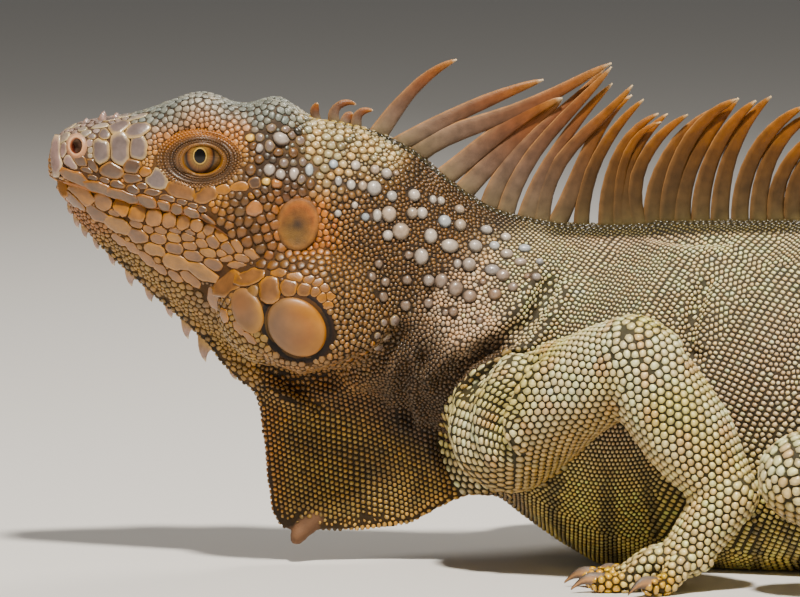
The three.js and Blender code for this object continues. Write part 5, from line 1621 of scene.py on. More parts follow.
def scale_mesh(name, group, members, near, unwrap, seed, keel=0.0):
    """One joined mesh of closed scales of one kind, each with its colours and a small patch of the unwrap."""
    rays, profile, gap, cap, finish_name, slot, _ = LOOKS[KIND_NAMES[int(group["kind"][members[0]])]]
    count, rings = len(members), len(profile)
    reach, c, s = cell_reach(group, members, near, rays, gap, cap)
    along, across = (axis[members][:, None, :] for axis in frames_of(group))
    part = chosen(group, members)
    high = part["high"] * (1 + JITTER * np.random.default_rng(seed).normal(size=count))
    points = np.empty((count, rings * rays + 1, 3))
    colour = np.ones((count, rings * rays + 1, 4))
    patch = np.zeros((count, rings * rays + 1, 2))
    for k, (share, level, shade, rim) in enumerate(profile):
        row = slice(k * rays, (k + 1) * rays)
        ridge = keel * (1 - share) * np.abs(c)[None, :]
        lift = high[:, None] * (level + ridge)
        sideways = (reach * share * c)[..., None] * along + (reach * share * s)[..., None] * across
        points[:, row] = part["at"][:, None, :] + sideways + lift[..., None] * part["normal"][:, None, :]
        # each row is darkened by its shade: painted shade towards the scale's sunk edge
        colour[:, row, :3] = (shade * mix(part["tint"], part["rim"], rim))[:, None, :]
        patch[:, row] = share * np.stack([c, s], axis=-1)
    points[:, -1] = part["at"] + part["normal"] * (high * (1 + keel))[:, None]
    colour[:, -1, :3] = part["tint"] * TOP_HIGHLIGHT
    colour[..., :3] = vivid(colour[..., :3])
    points[..., 2] = np.maximum(points[..., 2], FLOOR_LEVEL)
    i = np.arange(rays)
    j = (i + 1) % rays
    side = np.stack([i, j, rays + j, rays + i], -1)
    sides = [k * rays + side for k in range(rings - 1)]
    last = (rings - 1) * rays
    corners = np.concatenate([side.ravel() for side in sides] + [
        np.stack([last + i, last + j, np.full(rays, rings * rays)], -1).ravel(), i[::-1],
    ])
    sizes = np.tile([4] * rays * (rings - 1) + [3] * rays + [rays], count)
    loops = (corners[None, :] + (rings * rays + 1) * np.arange(count)[:, None]).ravel()
    mesh = bpy.data.meshes.new(name)
    mesh.vertices.add(points.shape[0] * points.shape[1])
    mesh.vertices.foreach_set("co", to_row(points.reshape(-1, 3)).ravel())
    mesh.loops.add(len(loops))
    mesh.loops.foreach_set("vertex_index", loops)
    mesh.polygons.add(len(sizes))
    mesh.polygons.foreach_set("loop_start", np.concatenate([[0], np.cumsum(sizes)[:-1]]))
    mesh.update(calc_edges=True)
    mesh.polygons.foreach_set("use_smooth", np.ones(len(sizes), bool))
    mesh.color_attributes.new("tint", "FLOAT_COLOR", "POINT").data.foreach_set("color", colour.ravel())
    place = np.clip(unwrap(part["at"]), PATCH_MARGIN, 1 - PATCH_MARGIN)[:, None, :] + PATCH_HALF * patch
    mesh.uv_layers.new(name="OFBake").data.foreach_set("uv", place.reshape(-1, 2)[loops].ravel())
    mesh.update()
    piece = bpy.data.objects.new(name, mesh)
    bpy.context.collection.objects.link(piece)
    return finish(piece, MATERIALS[finish_name])


PATCH_HALF = 0.0015  # of the map, for half of each scale's own patch
PATCH_MARGIN = 0.004


def body_unwrap(points):
    """Places along the body and round it, as a flat sheet filling the map."""
    station = nearest_station(points)
    wide = body_at(station)[:, 2]
    x = np.interp(station, LINE_STATIONS, LINE_X)
    y = np.interp(station, LINE_STATIONS, LINE_Y)
    turn = np.radians(turn_at(station)[:, 0])
    side = -(points[:, 0] - x) * np.sin(turn) + (points[:, 1] - y) * np.cos(turn)
    ahead = (points[:, 0] - x) * np.cos(turn) + (points[:, 1] - y) * np.sin(turn)
    angle = np.arctan2(points[:, 2] - wide, side) / (2 * math.pi)
    return filling(np.stack([station + ahead, (angle - 0.25) % 1.0], axis=-1))


FACE_SHARE = 0.48  # of the map's width, for each face of a thin sheet


def flat_unwrap(points):
    """A thin sheet's two faces side by side."""
    u, v = points[:, 0], points[:, 2]
    u = (u - u.min()) / (np.ptp(u) + 1e-6) * FACE_SHARE
    return filling(np.stack([np.where(points[:, 1] < 0, u, u + (1 - FACE_SHARE)), v], axis=-1))


MAP_MARGIN = 0.01


def filling(places):
    """Places spread over the whole map but its margins."""
    low, high = places.min(0), places.max(0)
    return MAP_MARGIN + (1 - 2 * MAP_MARGIN) * (places - low) / np.maximum(high - low, 1e-6)


def limb_unwrap(limbs):
    """Places along a leg and round it, as a flat sheet."""
    def how(points):
        path = np.vstack([limbs[name].points for name in ("upper", "lower", "foot", "digit_3")])
        length = way_along(path)
        best = np.full(len(points), 1e9)
        along, turn = np.zeros(len(points)), np.zeros(len(points))
        for i, (a, b) in enumerate(zip(path[:-1], path[1:])):
            step = b - a
            if step @ step < 1e-6:
                continue
            t = np.clip((points - a) @ step / (step @ step), 0, 1)
            off = points - a - t[:, None] * step
            distance = np.linalg.norm(off, axis=1)
            closer = distance < best
            side = unit(np.cross(UPWARDS, unit(step)))
            up = np.cross(unit(step), side)
            best = np.where(closer, distance, best)
            along = np.where(closer, length[i] + t * np.linalg.norm(step), along)
            turn = np.where(closer, np.arctan2(off @ up, off @ side) / (2 * math.pi) % 1.0, turn)
        return filling(np.stack([along, turn], axis=-1))
    return how


# ---------------------------------------------------------------- materials
def node_material(name):
    material = bpy.data.materials.new(name)
    material.use_nodes = True
    nodes = material.node_tree.nodes
    return material, nodes, material.node_tree.links, nodes["Principled BSDF"]


def node(nodes, kind, values=None, **settings):
    """A new node with its settings, and with the values of its inputs by name or number."""
    made = nodes.new(f"ShaderNode{kind}")
    for key, setting in settings.items():
        setattr(made, key, setting)
    set_inputs(made, values or {})
    return made


def set_inputs(made, values):
    for key, value in values.items():
        made.inputs[key].default_value = value


def wired(links, *wires):
    """Links between nodes, each given as a node and its output, and a node and its input."""
    for source, output, target, into in wires:
        links.new(source.outputs[output], target.inputs[into])


GRAIN_FINER = 9.0  # than the clouds


def keratin_group():
    """Clouded shade and fine grain shared by every scaly and horny finish."""
    group = bpy.data.node_groups.new("keratin", "ShaderNodeTree")
    for name, kind, into in (("Vector", "NodeSocketVector", "INPUT"), ("Size", "NodeSocketFloat", "INPUT"),
                             ("Cloud", "NodeSocketFloat", "INPUT"), ("Shade", "NodeSocketFloat", "OUTPUT"),
                             ("Height", "NodeSocketFloat", "OUTPUT")):
        group.interface.new_socket(name, in_out=into, socket_type=kind)
    nodes = group.nodes
    given, out = nodes.new("NodeGroupInput"), nodes.new("NodeGroupOutput")
    cloud, grain = node(nodes, "TexNoise", {"Detail": 3}), node(nodes, "TexNoise", {"Detail": 2})
    finer = node(nodes, "Math", {1: GRAIN_FINER}, operation="MULTIPLY")
    spread = node(nodes, "MapRange", {"From Min": 0.3, "From Max": 0.7, "To Max": 1.12})
    darkest = node(nodes, "Math", {0: 1.0}, operation="SUBTRACT")
    wired(
        group.links, (given, "Vector", cloud, "Vector"), (given, "Vector", grain, "Vector"),
        (given, "Size", cloud, "Scale"), (given, "Size", finer, 0), (finer, 0, grain, "Scale"),
        (given, "Cloud", darkest, 1), (cloud, "Fac", spread, "Value"), (darkest, 0, spread, "To Min"),
        (spread, "Result", out, "Shade"), (grain, "Fac", out, "Height"),
    )
    return group


KERATIN = keratin_group()
SHADED = {"data_type": "RGBA", "blend_type": "MULTIPLY"}
ROUGHNESS_RANGE = (-0.1, 0.12)  # to each side of a finish's own roughness, with its grain
GRAIN_HEIGHT = 0.0003  # metres


def tinted_material(name, rough, size, cloud, bump, coat=0.0, coat_rough=0.3, specular=0.5):
    """A finish whose colour comes from each scale's own tint."""
    material, nodes, links, shader = node_material(name)
    tint = node(nodes, "Attribute", attribute_name="tint")
    place = node(nodes, "TexCoord")
    grain = node(nodes, "Group", node_tree=KERATIN)
    set_inputs(grain, {"Size": size, "Cloud": cloud})
    shade = node(nodes, "Mix", {"Factor": 1.0}, **SHADED)
    smoothest, roughest = (rough + away for away in ROUGHNESS_RANGE)
    rougher = node(nodes, "MapRange", {"To Min": smoothest, "To Max": roughest})
    lifted = node(nodes, "Bump", {"Strength": bump, "Distance": GRAIN_HEIGHT})
    wired(
        links, (place, "Object", grain, "Vector"), (tint, "Color", shade, 6), (grain, "Shade", shade, 7),
        (shade, 2, shader, "Base Color"), (grain, "Height", rougher, "Value"),
        (rougher, "Result", shader, "Roughness"), (grain, "Height", lifted, "Height"),
        (lifted, "Normal", shader, "Normal"),
    )
    set_inputs(shader, {"Coat Weight": coat, "Coat Roughness": coat_rough, "Specular IOR Level": specular})
    return material


MATERIALS = {
    "beads": tinted_material("small_scales", 0.42, 420, 0.30, 0.3, coat=0.25, coat_rough=0.3, specular=0.55),
    "gloss": tinted_material("glossy_body_scales", 0.36, 420, 0.26, 0.3, 0.7, coat_rough=0.22, specular=0.6),
    "plates": tinted_material("glossy_plates", 0.36, 260, 0.42, 0.3, coat=1.0, coat_rough=0.22),
    "pearl": tinted_material("pearly_tubercles", 0.34, 500, 0.26, 0.2, coat=0.6, coat_rough=0.14),
    "horn": tinted_material("crest_and_claw_horn", 0.42, 260, 0.34, 0.4, specular=0.25),
    "cheek": tinted_material("smooth_cheek_plate", 0.42, 110, 0.30, 0.12, coat=0.15),
    "ear": tinted_material("eardrum_skin", 0.55, 330, 0.45, 0.5),
    "soft": tinted_material("soft_skin", 0.42, 240, 0.28, 0.3, coat=0.2),
    "skin": tinted_material("skin_between_scales", 0.75, 180, 0.35, 0.6, specular=0.3),
}


def finish(piece, material):
    """Gives a piece its material, and lets it ride on the body."""
    piece.data.materials.clear()
    piece.data.materials.append(material)
    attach(piece, "root")
    return piece


def set_tint(piece, colours):
    """Gives each vertex of a piece its own colour."""
    colours = vivid(colours)
    tint = piece.data.color_attributes.new("tint", "FLOAT_COLOR", "POINT")
    tint.data.foreach_set("color", np.hstack([colours, np.ones((len(colours), 1))]).ravel())


# ---------------------------------------------------------------- scales of the body
def plate_group(cut, rows, kind, high):
    """Plates of one cut, in the middle and rim colours that their rows name."""
    tints, rims = zip(*(PLATE_COLOURS[row[-1]] for row in rows))
    return view_sites(cut_rows(cut, rows), kind, high, tints, rims)


def lip_rows(rows, name):
    return [(*row, name) for row in rows]


plates = together([
    plate_group("snout", SNOUT_PLATES, "plate", 0.36),
    plate_group("jaw", lip_rows(LIP_PLATES, "lip"), "plate", 0.38),
    plate_group("jaw", lip_rows(LIP_FRINGE, "umber"), "shield", 0.4),
    plate_group("jaw", JAW_PLATES, "shield", 0.19),
    plate_group("cheek", CHEEK_PLATES, "shield", 0.18),
    plate_group("temple", TEMPLE_BUMPS, "bump", 0.75),
    plate_group("cheek", JOWL_BUMPS, "bump", 0.6),
])
tubercles = view_sites(cut_rows("neck", [(*row, 0) for row in TUBERCLES]), "pearl", 0.95)
# the tubercles' rims are their tints darkened: painted shade round each dome
PEARLS = {"variation": 0.08, "rim": 0.55, "seed": 7}
draw = np.random.default_rng(PEARLS["seed"])
tubercles["tint"] = varied(pearl_colour(tubercles["at"], draw), PEARLS["variation"], draw)
tubercles["rim"] = tubercles["tint"] * PEARLS["rim"]

NECK_FROM, NAPE_FROM = -106, -128
FILL_DRAWS, FILL_SEED, FILL_CLOSEST, FILL_EVENING = 110000, 21, 0.9, 3
HIGHER = {"nape": 1.9, "neck": 1.4}  # than the scales of the head
RINGS_FROM, RINGS_TO = -100, TAIL_TIP - 6
CLOSEST = 0.74  # of the two half sizes, between the middles of scales
GAP_SEED = 61
COLOUR_SEED = 31
shoulder = view_sites(shoulder_rows(), "leg", 0.5)
fill = fill_sites(together([plates, tubercles]), FILL_DRAWS, FILL_SEED)
fill = clear_of_bare(thinned(together([plates, tubercles, fill]), FILL_CLOSEST))
loose = fill["fixed"] < 0.5
nape = loose & within(fill["at"], NAPE) & (fill["at"][:, 0] > NAPE_FROM)
neck = loose & ~nape & (fill["at"][:, 0] > NECK_FROM)
for name, those in (("nape", nape), ("neck", neck)):
    fill["kind"][those] = KIND[name]
    fill["high"][those] *= HIGHER[name]
fill = evened(fill, FILL_EVENING)

leg_groups = [
    leg_sites(limbs, HIND_LARGER if name.startswith("hind") else 1.0) for name, (limbs, _) in LEGS.items()
]
rings = clear_of_bare(ring_sites(RINGS_FROM, RINGS_TO))
others = off_shoulder(together([fill, dewlap_sites(), *leg_groups, rings]))
whole = evened(thinned(together([shoulder, crest_root_sites(), fan_edge_sites(), others]), CLOSEST), 2)
whole = evened(gap_sites(whole, GAP_SEED), 3)


def nearest_leg(points):
    """Which leg places belong to, by the limbs' own points."""
    away = []
    for limbs, _ in LEGS.values():
        chain = np.vstack([limb.points for limb in limbs.values()])
        away.append(np.linalg.norm(points[:, None, :] - chain[None], axis=2).min(1))
    return np.argmin(away, axis=0)


leg_of = np.where(of_kind(whole, "leg"), nearest_leg(whole["at"]), -1)
station_of = nearest_station(whole["at"])
VARIATION = {
    "head": 0.13, "nape": 0.25, "neck": 0.18, "trunk": 0.15, "tail": 0.14, "dewlap": 0.17, "leg": 0.12,
}
# a small scale's rim is its tint darkened: painted shade where it curves down into its seam
RIM = 0.72  # a small scale's rim beside its middle


def coloured():
    """Gives each small scale its colour, in the order of the kinds in the table."""
    draw = np.random.default_rng(COLOUR_SEED)
    how = dict.fromkeys(("head", "nape", "neck"), head_colour) | dict.fromkeys(("trunk", "tail"), body_colour)
    how["dewlap"] = dewlap_colour
    for name, amount in VARIATION.items():
        mine = of_kind(whole, name)
        points = whole["at"][mine]
        if name == "leg":
            colour = np.zeros_like(points)
            for number, (limbs, _) in enumerate(LEGS.values()):
                this = leg_of[mine] == number
                colour[this] = leg_colour(limbs, points[this])
        else:
            colour = how[name](points)
        whole["tint"][mine] = varied(colour, amount, draw)
        # painted shade on the rim of each scale
        whole["rim"][mine] = whole["tint"][mine] * RIM


coloured()
near = neighbours(whole["at"], NEIGHBOURS)


def made(name, keep, unwrap, seed, keel=0.0):
    """Makes the mesh of the chosen scales, where there are any."""
    members = np.flatnonzero(keep)
    if len(members):
        scale_mesh(name, whole, members, near, unwrap, seed, keel)


HALVES = {"left": whole["at"][:, 1] < 0, "right": whole["at"][:, 1] >= 0}
PLATE_PIECES = {
    "snout_plates": "plate", "jaw_plates": "shield", "temple_bumps": "bump", "neck_tubercles": "pearl",
    "nape_scales": "nape",
}
for number, (name, kind) in enumerate(PLATE_PIECES.items()):
    made(name, of_kind(whole, kind), body_unwrap, 1 + number)
made("crest_root_scales", of_kind(whole, "root"), body_unwrap, 9)
HALF_PIECES = {"head": (body_unwrap, 6), "neck": (body_unwrap, 7), "dewlap": (flat_unwrap, 8)}
for side_name, half in HALVES.items():
    for name, (unwrap, seed) in HALF_PIECES.items():
        made(f"{name}_scales_{side_name}", of_kind(whole, name) & half, unwrap, seed)
for number, (name, (limbs, _)) in enumerate(LEGS.items()):
    made(f"{name}_scales", leg_of == number, limb_unwrap(limbs), 10 + number)
TRUNK_PIECES = {
    "shoulder": (-200, -20), "chest": (-20, 30), "flank": (30, 85), "belly": (85, 140), "rump": (140, 400),
}
for name, (first, last) in TRUNK_PIECES.items():
    part = of_kind(whole, "trunk") & (station_of >= first) & (station_of < last)
    for side_name, half in HALVES.items():
        made(f"{name}_scales_{side_name}", part & half, body_unwrap, 20)
TAIL_PIECES = {"tail_root": (0, 420), "tail_middle": (420, 720), "tail_end": (720, 1200)}
TAIL_KEEL = 0.3
for name, (first, last) in TAIL_PIECES.items():
    part = of_kind(whole, "tail") & (station_of >= first) & (station_of < last)
    made(f"{name}_scales", part, body_unwrap, 21, TAIL_KEEL)


TINT_BETWEEN = {"head": 0.12, "body": 0.05}  # how much of the nearest scale's tint the skin between has


def skin_tints():
    """The skin between the scales: dark, in the colour of the nearest kind."""
    seams = np.array([LOOKS[name][-1] for name in KIND_NAMES])
    tree = tree_of(whole["at"])
    points = own_points(skin)
    nearest = np.array([tree.find(point)[1] for point in points])
    on_head = of_kind(chosen(whole, nearest), "plate", "shield", "head")[:, None]
    share = np.where(on_head, TINT_BETWEEN["head"], TINT_BETWEEN["body"])
    tints = mix(seams[whole["kind"][nearest].astype(int)], whole["tint"][nearest], share)
    return np.where(within(points, LOBE_DISC, 1.2, -1)[:, None], PALETTE["lobe"], tints)


set_tint(skin, skin_tints())
finish(skin, MATERIALS["skin"])
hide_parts(*FLESH)


# ---------------------------------------------------------------- smooth forms of the head
def ellipse_spots(disc, share, around):
    """Columns and rows round an ellipse in view, at a share of its size."""
    column, row, long, wide, turn = disc
    angle = circle(around)
    u, v = share * long * np.cos(angle), share * wide * np.sin(angle)
    c, s = math.cos(math.radians(turn)), math.sin(math.radians(turn))
    return np.stack([column + u * c + v * s, row - u * s + v * c], axis=-1)


def cast(spots):
    """The places on the left side of the skin seen at spots in view, and the skin's normals there."""
    found = [through_view(column, row) for column, row in spots]
    return tuple(np.array(values) for values in zip(*found))


def tinted_piece(name, shapes, material):
    """Closed surfaces as one mesh; each shape is its surface and a colour for each of its points."""
    piece = outward(mesh_object(name, *merged([surface for surface, _ in shapes])))
    set_tint(piece, np.vstack([colours for _, colours in shapes]))
    return finish(piece, material)


def both_sides(points):
    return points, points * MIRROR


DISC_AROUND = 56
DISC_FACING = {"share": 0.8, "places": 12}  # where the skin's normals are read for the way that it faces
DISC_SUNK = 1.6  # how deep its edge goes on into the skin
DISC_TURNING = (-0.7, 0.7)  # heights, of its half size, between which the colour below turns to that above


def disc_pieces(name, disc, rows, material, replaced=None):
    """A smooth form on each side of the head.

    Rows give its share of the disc, its lift, and its colours below and above.
    """
    _, normals = cast(ellipse_spots(disc, *DISC_FACING.values()))
    out = unit(normals.mean(0))
    share, lift, *edge_colours = rows[0]
    across_rows = [(share, lift - DISC_SUNK, *edge_colours), *rows]
    rings, colours = [], []
    high = -np.sin(circle(DISC_AROUND) + math.radians(disc[4]))
    for share, lift, below, above in across_rows:
        at, _ = cast(ellipse_spots(disc, share, DISC_AROUND))
        rings.append(at + lift * out)
        colours.append(mix(srgb(*below), srgb(*above), smooth_step(*DISC_TURNING, -high * share)[:, None]))
    for side_name, points in zip(SIDES, both_sides(np.array(rings))):
        piece = tinted_piece(f"{name}_{side_name}", [(loft(points), np.vstack(colours))], material)
        if replaced:
            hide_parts(f"{replaced}_{side_name}")


# the first row, where the plate sinks into the skin, is darkened: painted shade at its edge
CHEEK_ROWS = [
    (1.0, -0.3, (76, 46, 24), (64, 46, 32)), (0.975, 0.5, (164, 110, 58), (118, 90, 62)),
    (0.90, 1.05, (178, 124, 68), (126, 96, 70)), (0.72, 1.35, (172, 118, 64), (112, 86, 66)),
    (0.45, 1.5, (164, 108, 60), (110, 84, 64)), (0.2, 1.55, (156, 106, 62), (116, 88, 64)),
    (0.04, 1.55, (154, 104, 62), (118, 90, 64)),
]
# a near-black sheet round the cheek plate, darker than the skin between scales: painted shade of its groove
SHADE_RING_ROWS = [
    (1.0, -0.35, (36, 24, 18), (30, 22, 18)), (0.95, 0.18, (44, 28, 20), (38, 28, 22)),
    (0.88, 0.05, (26, 18, 14), (24, 18, 14)), (0.5, -0.2, (26, 18, 14), (24, 18, 14)),
]
EAR_ROWS = [
    (1.10, -0.6, (96, 66, 36), (104, 70, 38)), (1.02, -0.25, (112, 76, 38), (124, 80, 38)),
    (0.90, -0.22, (128, 88, 38), (154, 98, 36)), (0.76, -0.40, (112, 80, 32), (146, 88, 30)),
    (0.58, -0.65, (106, 78, 32), (130, 82, 28)), (0.32, -0.85, (96, 72, 30), (100, 64, 24)),
    (0.05, -0.85, (66, 46, 20), (54, 34, 16)),
]
# the inner rows run down into the nostril and darken to near black: painted shade inside the hole
NOSTRIL_ROWS = [
    (1.0, -0.3, (150, 104, 74), (160, 130, 110)), (0.88, 0.30, (166, 124, 96), (172, 142, 120)),
    (0.72, 0.55, (186, 134, 102), (184, 144, 118)), (0.60, 0.62, (214, 170, 136), (212, 172, 140)),
    (0.52, 0.20, (146, 90, 66), (156, 102, 76)), (0.46, -0.9, (86, 36, 26), (70, 32, 22)),
    (0.38, -2.8, (30, 12, 8), (24, 10, 7)), (0.1, -4.0, (8, 4, 3), (8, 4, 3)),
]
# the first row, where the plate sinks into the skin, is darkened: painted shade at its edge
JOWL_ROWS = [
    (1.0, -0.3, (70, 44, 26), (66, 46, 32)), (0.97, 0.35, (160, 114, 62), (144, 106, 68)),
    (0.88, 0.8, (160, 118, 68), (136, 100, 70)), (0.66, 1.1, (138, 102, 66), (122, 88, 64)),
    (0.35, 1.2, (126, 94, 68), (124, 88, 62)), (0.05, 1.25, (126, 94, 68), (124, 88, 62)),
]
disc_pieces("jowl_plate", JOWL_DISC, JOWL_ROWS, MATERIALS["cheek"])
disc_pieces("cheek_plate", CHEEK_DISC, CHEEK_ROWS, MATERIALS["cheek"], "cheek_plate")
disc_pieces("cheek_shade_ring", CHEEK_SHADE_RING, SHADE_RING_ROWS, MATERIALS["skin"])
disc_pieces("eardrum", EAR_DISC, EAR_ROWS, MATERIALS["ear"], "ear")
disc_pieces("nostril", NOSTRIL_DISC, NOSTRIL_ROWS, MATERIALS["soft"])


# ---------------------------------------------------------------- eyes
EYEBALL = (10.0, 7.5, 8.5)
PUPIL_NARROWER = 1.24
# colour of the eye by distance from the middle of the pupil, in mm
EYE_COLOURS = [
    (0.0, (5, 3, 2)), (2.42, (5, 3, 2)), (2.55, (214, 176, 84)), (2.8, (176, 134, 52)),
    (3.05, (116, 84, 30)), (3.6, (132, 96, 38)), (4.5, (122, 78, 30)), (5.2, (92, 54, 20)),
    (5.6, (42, 22, 10)), (5.95, (34, 20, 10)), (6.4, (92, 66, 34)), (9.5, (116, 84, 44)),
]


RAMP_LENGTH = 10  # mm
EYE_GLOSS = {
    "Roughness": 0.3, "Specular IOR Level": 0.25, "Coat Weight": 0.5, "Coat Roughness": 0.05, "Coat IOR": 1.3,
}


def eye_material():
    """Rings of colour round a dark pupil, with fine fibres; the same pattern for both eyes."""
    material, nodes, links, shader = node_material("eye")
    place = node(nodes, "TexCoord")
    centred = node(nodes, "Mapping", {"Location": tuple(-to_row(eye_place(-1)))})
    flat = node(nodes, "VectorMath", operation="MULTIPLY")
    flat.inputs[1].default_value = (PUPIL_NARROWER, 0.0, 1.0)
    length = node(nodes, "VectorMath", operation="LENGTH")
    direction = node(nodes, "VectorMath", operation="NORMALIZE")
    fibres = node(nodes, "TexNoise", {"Scale": 16.0, "Detail": 3})
    spread = node(nodes, "MapRange", {"From Min": 0.32, "From Max": 0.68, "To Min": 0.62, "To Max": 1.2})
    shade = node(nodes, "Mix", {"Factor": 1.0}, **SHADED)
    scaled = node(nodes, "Math", {1: 1 / (RAMP_LENGTH * MM)}, operation="MULTIPLY")
    ramp = node(nodes, "ValToRGB")
    elements = ramp.color_ramp.elements
    colours = [(distance / RAMP_LENGTH, (*srgb(*colour), 1)) for distance, colour in EYE_COLOURS]
    elements[0].color = colours[0][1]
    elements[1].position, elements[1].color = colours[-1]
    for distance, colour in colours[1:-1]:
        elements.new(distance).color = colour
    wired(
        links, (place, "Object", centred, "Vector"), (centred, "Vector", flat, 0),
        (flat, "Vector", length, 0), (flat, "Vector", direction, 0), (direction, "Vector", fibres, "Vector"),
        (fibres, "Fac", spread, "Value"), (length, "Value", scaled, 0), (scaled, 0, ramp, "Fac"),
        (ramp, "Color", shade, 6), (spread, "Result", shade, 7), (shade, 2, shader, "Base Color"),
    )
    set_inputs(shader, EYE_GLOSS)
    return material


EYE_FINISH = eye_material()
for side_name, sign in SIDES.items():
    surface = sphere_surface(eye_place(sign), EYEBALL, *EYEBALL_ROUND)
    ball = outward(mesh_object(f"eyeball_{side_name}", *surface))
    finish(ball, EYE_FINISH)
    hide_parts(f"eye_{side_name}")

# ---------------------------------------------------------------- eyelids
LIDS = {
    "centre": (202.0, 159.0), "half_width": 21.0, "above": 14.5, "below": 16.0, "upper_curve": 1.05,
    "dome": (8.0, 12.5, 9.6), "over_skin": 0.25, "sunk": 0.6, "sunk_from": 0.88, "rolled_in": 9.0,
    "thick": 0.8, "around": 96, "edge_shade": 0.8, "shade": 0.62,
}
# creases of the lids: share of the way out, depth and reach
LID_CREASES = [(0.14, 0.7, 0.03), (0.30, 0.6, 0.035), (0.48, 0.45, 0.035), (0.68, 0.4, 0.04)]
LID_SHARES = np.concatenate([[-0.10, -0.04], np.linspace(0, 1, 24)])
LID_GRANULES = {
    "first": 0.045, "last": 0.97, "rows": 9, "inner": 0.36, "outer": 0.62, "spacing": 2.05, "crowding": 1.1,
    "beside": 0.04, "ahead": 0.05, "long": 1.05, "wide": 0.9, "variation": 0.12,
    "seed": 77,
}
LID_COLOURS = {
    "rim": srgb(178, 116, 62), "margin": srgb(142, 98, 48), "middle": srgb(92, 62, 32),
    "outer": srgb(122, 84, 46),
}


def lid_spots(share, angle):
    """Places in view on the eyelids, from the opening (0) to their outer edge (1)."""
    up = np.sin(angle)
    high = np.where(up > 0, LIDS["above"] * np.abs(up) ** LIDS["upper_curve"], -LIDS["below"] * np.abs(up))
    middle, level = LIDS["centre"]
    opening = np.stack([middle + LIDS["half_width"] * np.cos(angle), level - high], axis=-1)
    column, row, long, wide, _ = LID_DISC
    outer = np.stack([column + long * np.cos(angle), row - wide * up], axis=-1)
    return mix(opening, outer, share)


def at_distance(spots, sideways):
    """Places of the left side seen at spots in view, at given distances from the middle plane."""
    made = []
    for (column, row), distance in zip(spots, sideways):
        start, direction = view_ray(column, row)
        made.append(start + direction * ((-distance - start[1]) / direction[1]))
    return np.array(made)


def lid_row(share, angle):
    """One row of the lids: on a dome over the eyeball, running out into the skin."""
    spots = lid_spots(share, angle)
    skin_at, _ = cast(spots)
    skin_side = -skin_at[:, 1]
    across = at_distance(spots, skin_side) - eye_place(-1)
    high, long, tall = LIDS["dome"]
    room = 1 - (across[:, 0] / long) ** 2 - (across[:, 2] / tall) ** 2
    dome = EYE_AT[1] + high * np.sqrt(np.clip(room, 0, 1))
    side = np.maximum(dome, skin_side + LIDS["over_skin"])
    side = mix(side, skin_side - LIDS["sunk"], smooth_step(LIDS["sunk_from"], 1.0, share))
    for at, depth, reach in LID_CREASES:
        side = side - depth * math.exp(-(((share - at) / reach) ** 2))
    if share < 0:
        side = side + LIDS["rolled_in"] * share  # towards the eyeball
    return at_distance(spots, side)


def torus(rings):
    """A closed band: rings that join the last to the first."""
    rings = np.asarray(rings, float)
    count, around = rings.shape[:2]
    ring, i = np.meshgrid(np.arange(count), np.arange(around), indexing="ij")
    after, j = (ring + 1) % count, (i + 1) % around
    faces = np.stack([ring * around + i, after * around + i, after * around + j, ring * around + j], -1)
    return rings.reshape(-1, 3), faces.reshape(-1, 4).tolist()


# shares of the way out between which the colours of the lids change, and how far up the warm rim comes
LID_TURNS = {"middle": (0.05, 0.3), "outer": (0.5, 0.85), "rim": (0.35, 0.75), "rim above": (0.1, 0.8)}


def lid_colour(share, angle):
    """Colours of the lids at a share of the way out, with a warmer rim above."""
    up = np.sin(angle)
    share = np.broadcast_to(share, angle.shape)
    middle = smooth_step(*LID_TURNS["middle"], share)[:, None]
    outer = smooth_step(*LID_TURNS["outer"], share)[:, None]
    colour = mix(mix(LID_COLOURS["margin"], LID_COLOURS["middle"], middle), LID_COLOURS["outer"], outer)
    rim = smooth_step(*LID_TURNS["rim above"], up) * smooth_step(*LID_TURNS["rim"], share)
    return mix(colour, LID_COLOURS["rim"], rim[:, None])


LID_AROUND = circle(LIDS["around"])
lid_front = [lid_row(share, LID_AROUND) for share in LID_SHARES]
lid_back = [row + (0, LIDS["thick"], 0) for row in reversed(lid_front)]
lid_tints = np.vstack([
    lid_colour(max(share, 0), LID_AROUND) * LIDS["shade" if share > LID_SHARES[2] else "edge_shade"]
    for share in LID_SHARES
])
for side_name, points in zip(SIDES, both_sides(np.array(lid_front + lid_back))):
    shape = (torus(points), np.vstack([lid_tints, lid_tints[::-1]]))
    tinted_piece(f"eyelids_{side_name}", [shape], MATERIALS["soft"])


def lid_granules():
    """Rows of fine granules round the opening of the eye."""
    groups = []
    for number, t in enumerate(np.linspace(0, 1, LID_GRANULES["rows"])):
        share = mix(LID_GRANULES["first"], LID_GRANULES["last"], t ** LID_GRANULES["crowding"])
        size = mix(LID_GRANULES["inner"], LID_GRANULES["outer"], t)
        row = lid_row(share, LID_AROUND)
        closed = np.vstack([row, row[:1]])
        length = way_along(closed)
        count = round(length[-1] / (LID_GRANULES["spacing"] * size))
        marks = (np.arange(count) + 0.5 * (number % 2)) * length[-1] / count
        at = at_marks(marks, length, closed)
        angle = np.interp(marks, length, np.append(LID_AROUND, 2 * math.pi))
        inner = lid_row(max(share - LID_GRANULES["beside"], 0.0), angle)
        outer = lid_row(min(share + LID_GRANULES["beside"], 1.0), angle)
        ahead = lid_row(share, angle + LID_GRANULES["ahead"])
        normal = unit(np.cross(unit(ahead - at), unit(outer - inner)))
        normal = normal * -np.sign(normal[:, 1:2])
        tint = lid_colour(share, angle)
        long, wide = size * LID_GRANULES["long"], size * LID_GRANULES["wide"]
        for points, facing, pointing in zip(both_sides(at), both_sides(normal), both_sides(unit(ahead - at))):
            groups.append(sites(points, facing, pointing, long, "lid", wide=wide, high=0.6, tint=tint))
    return together(groups)


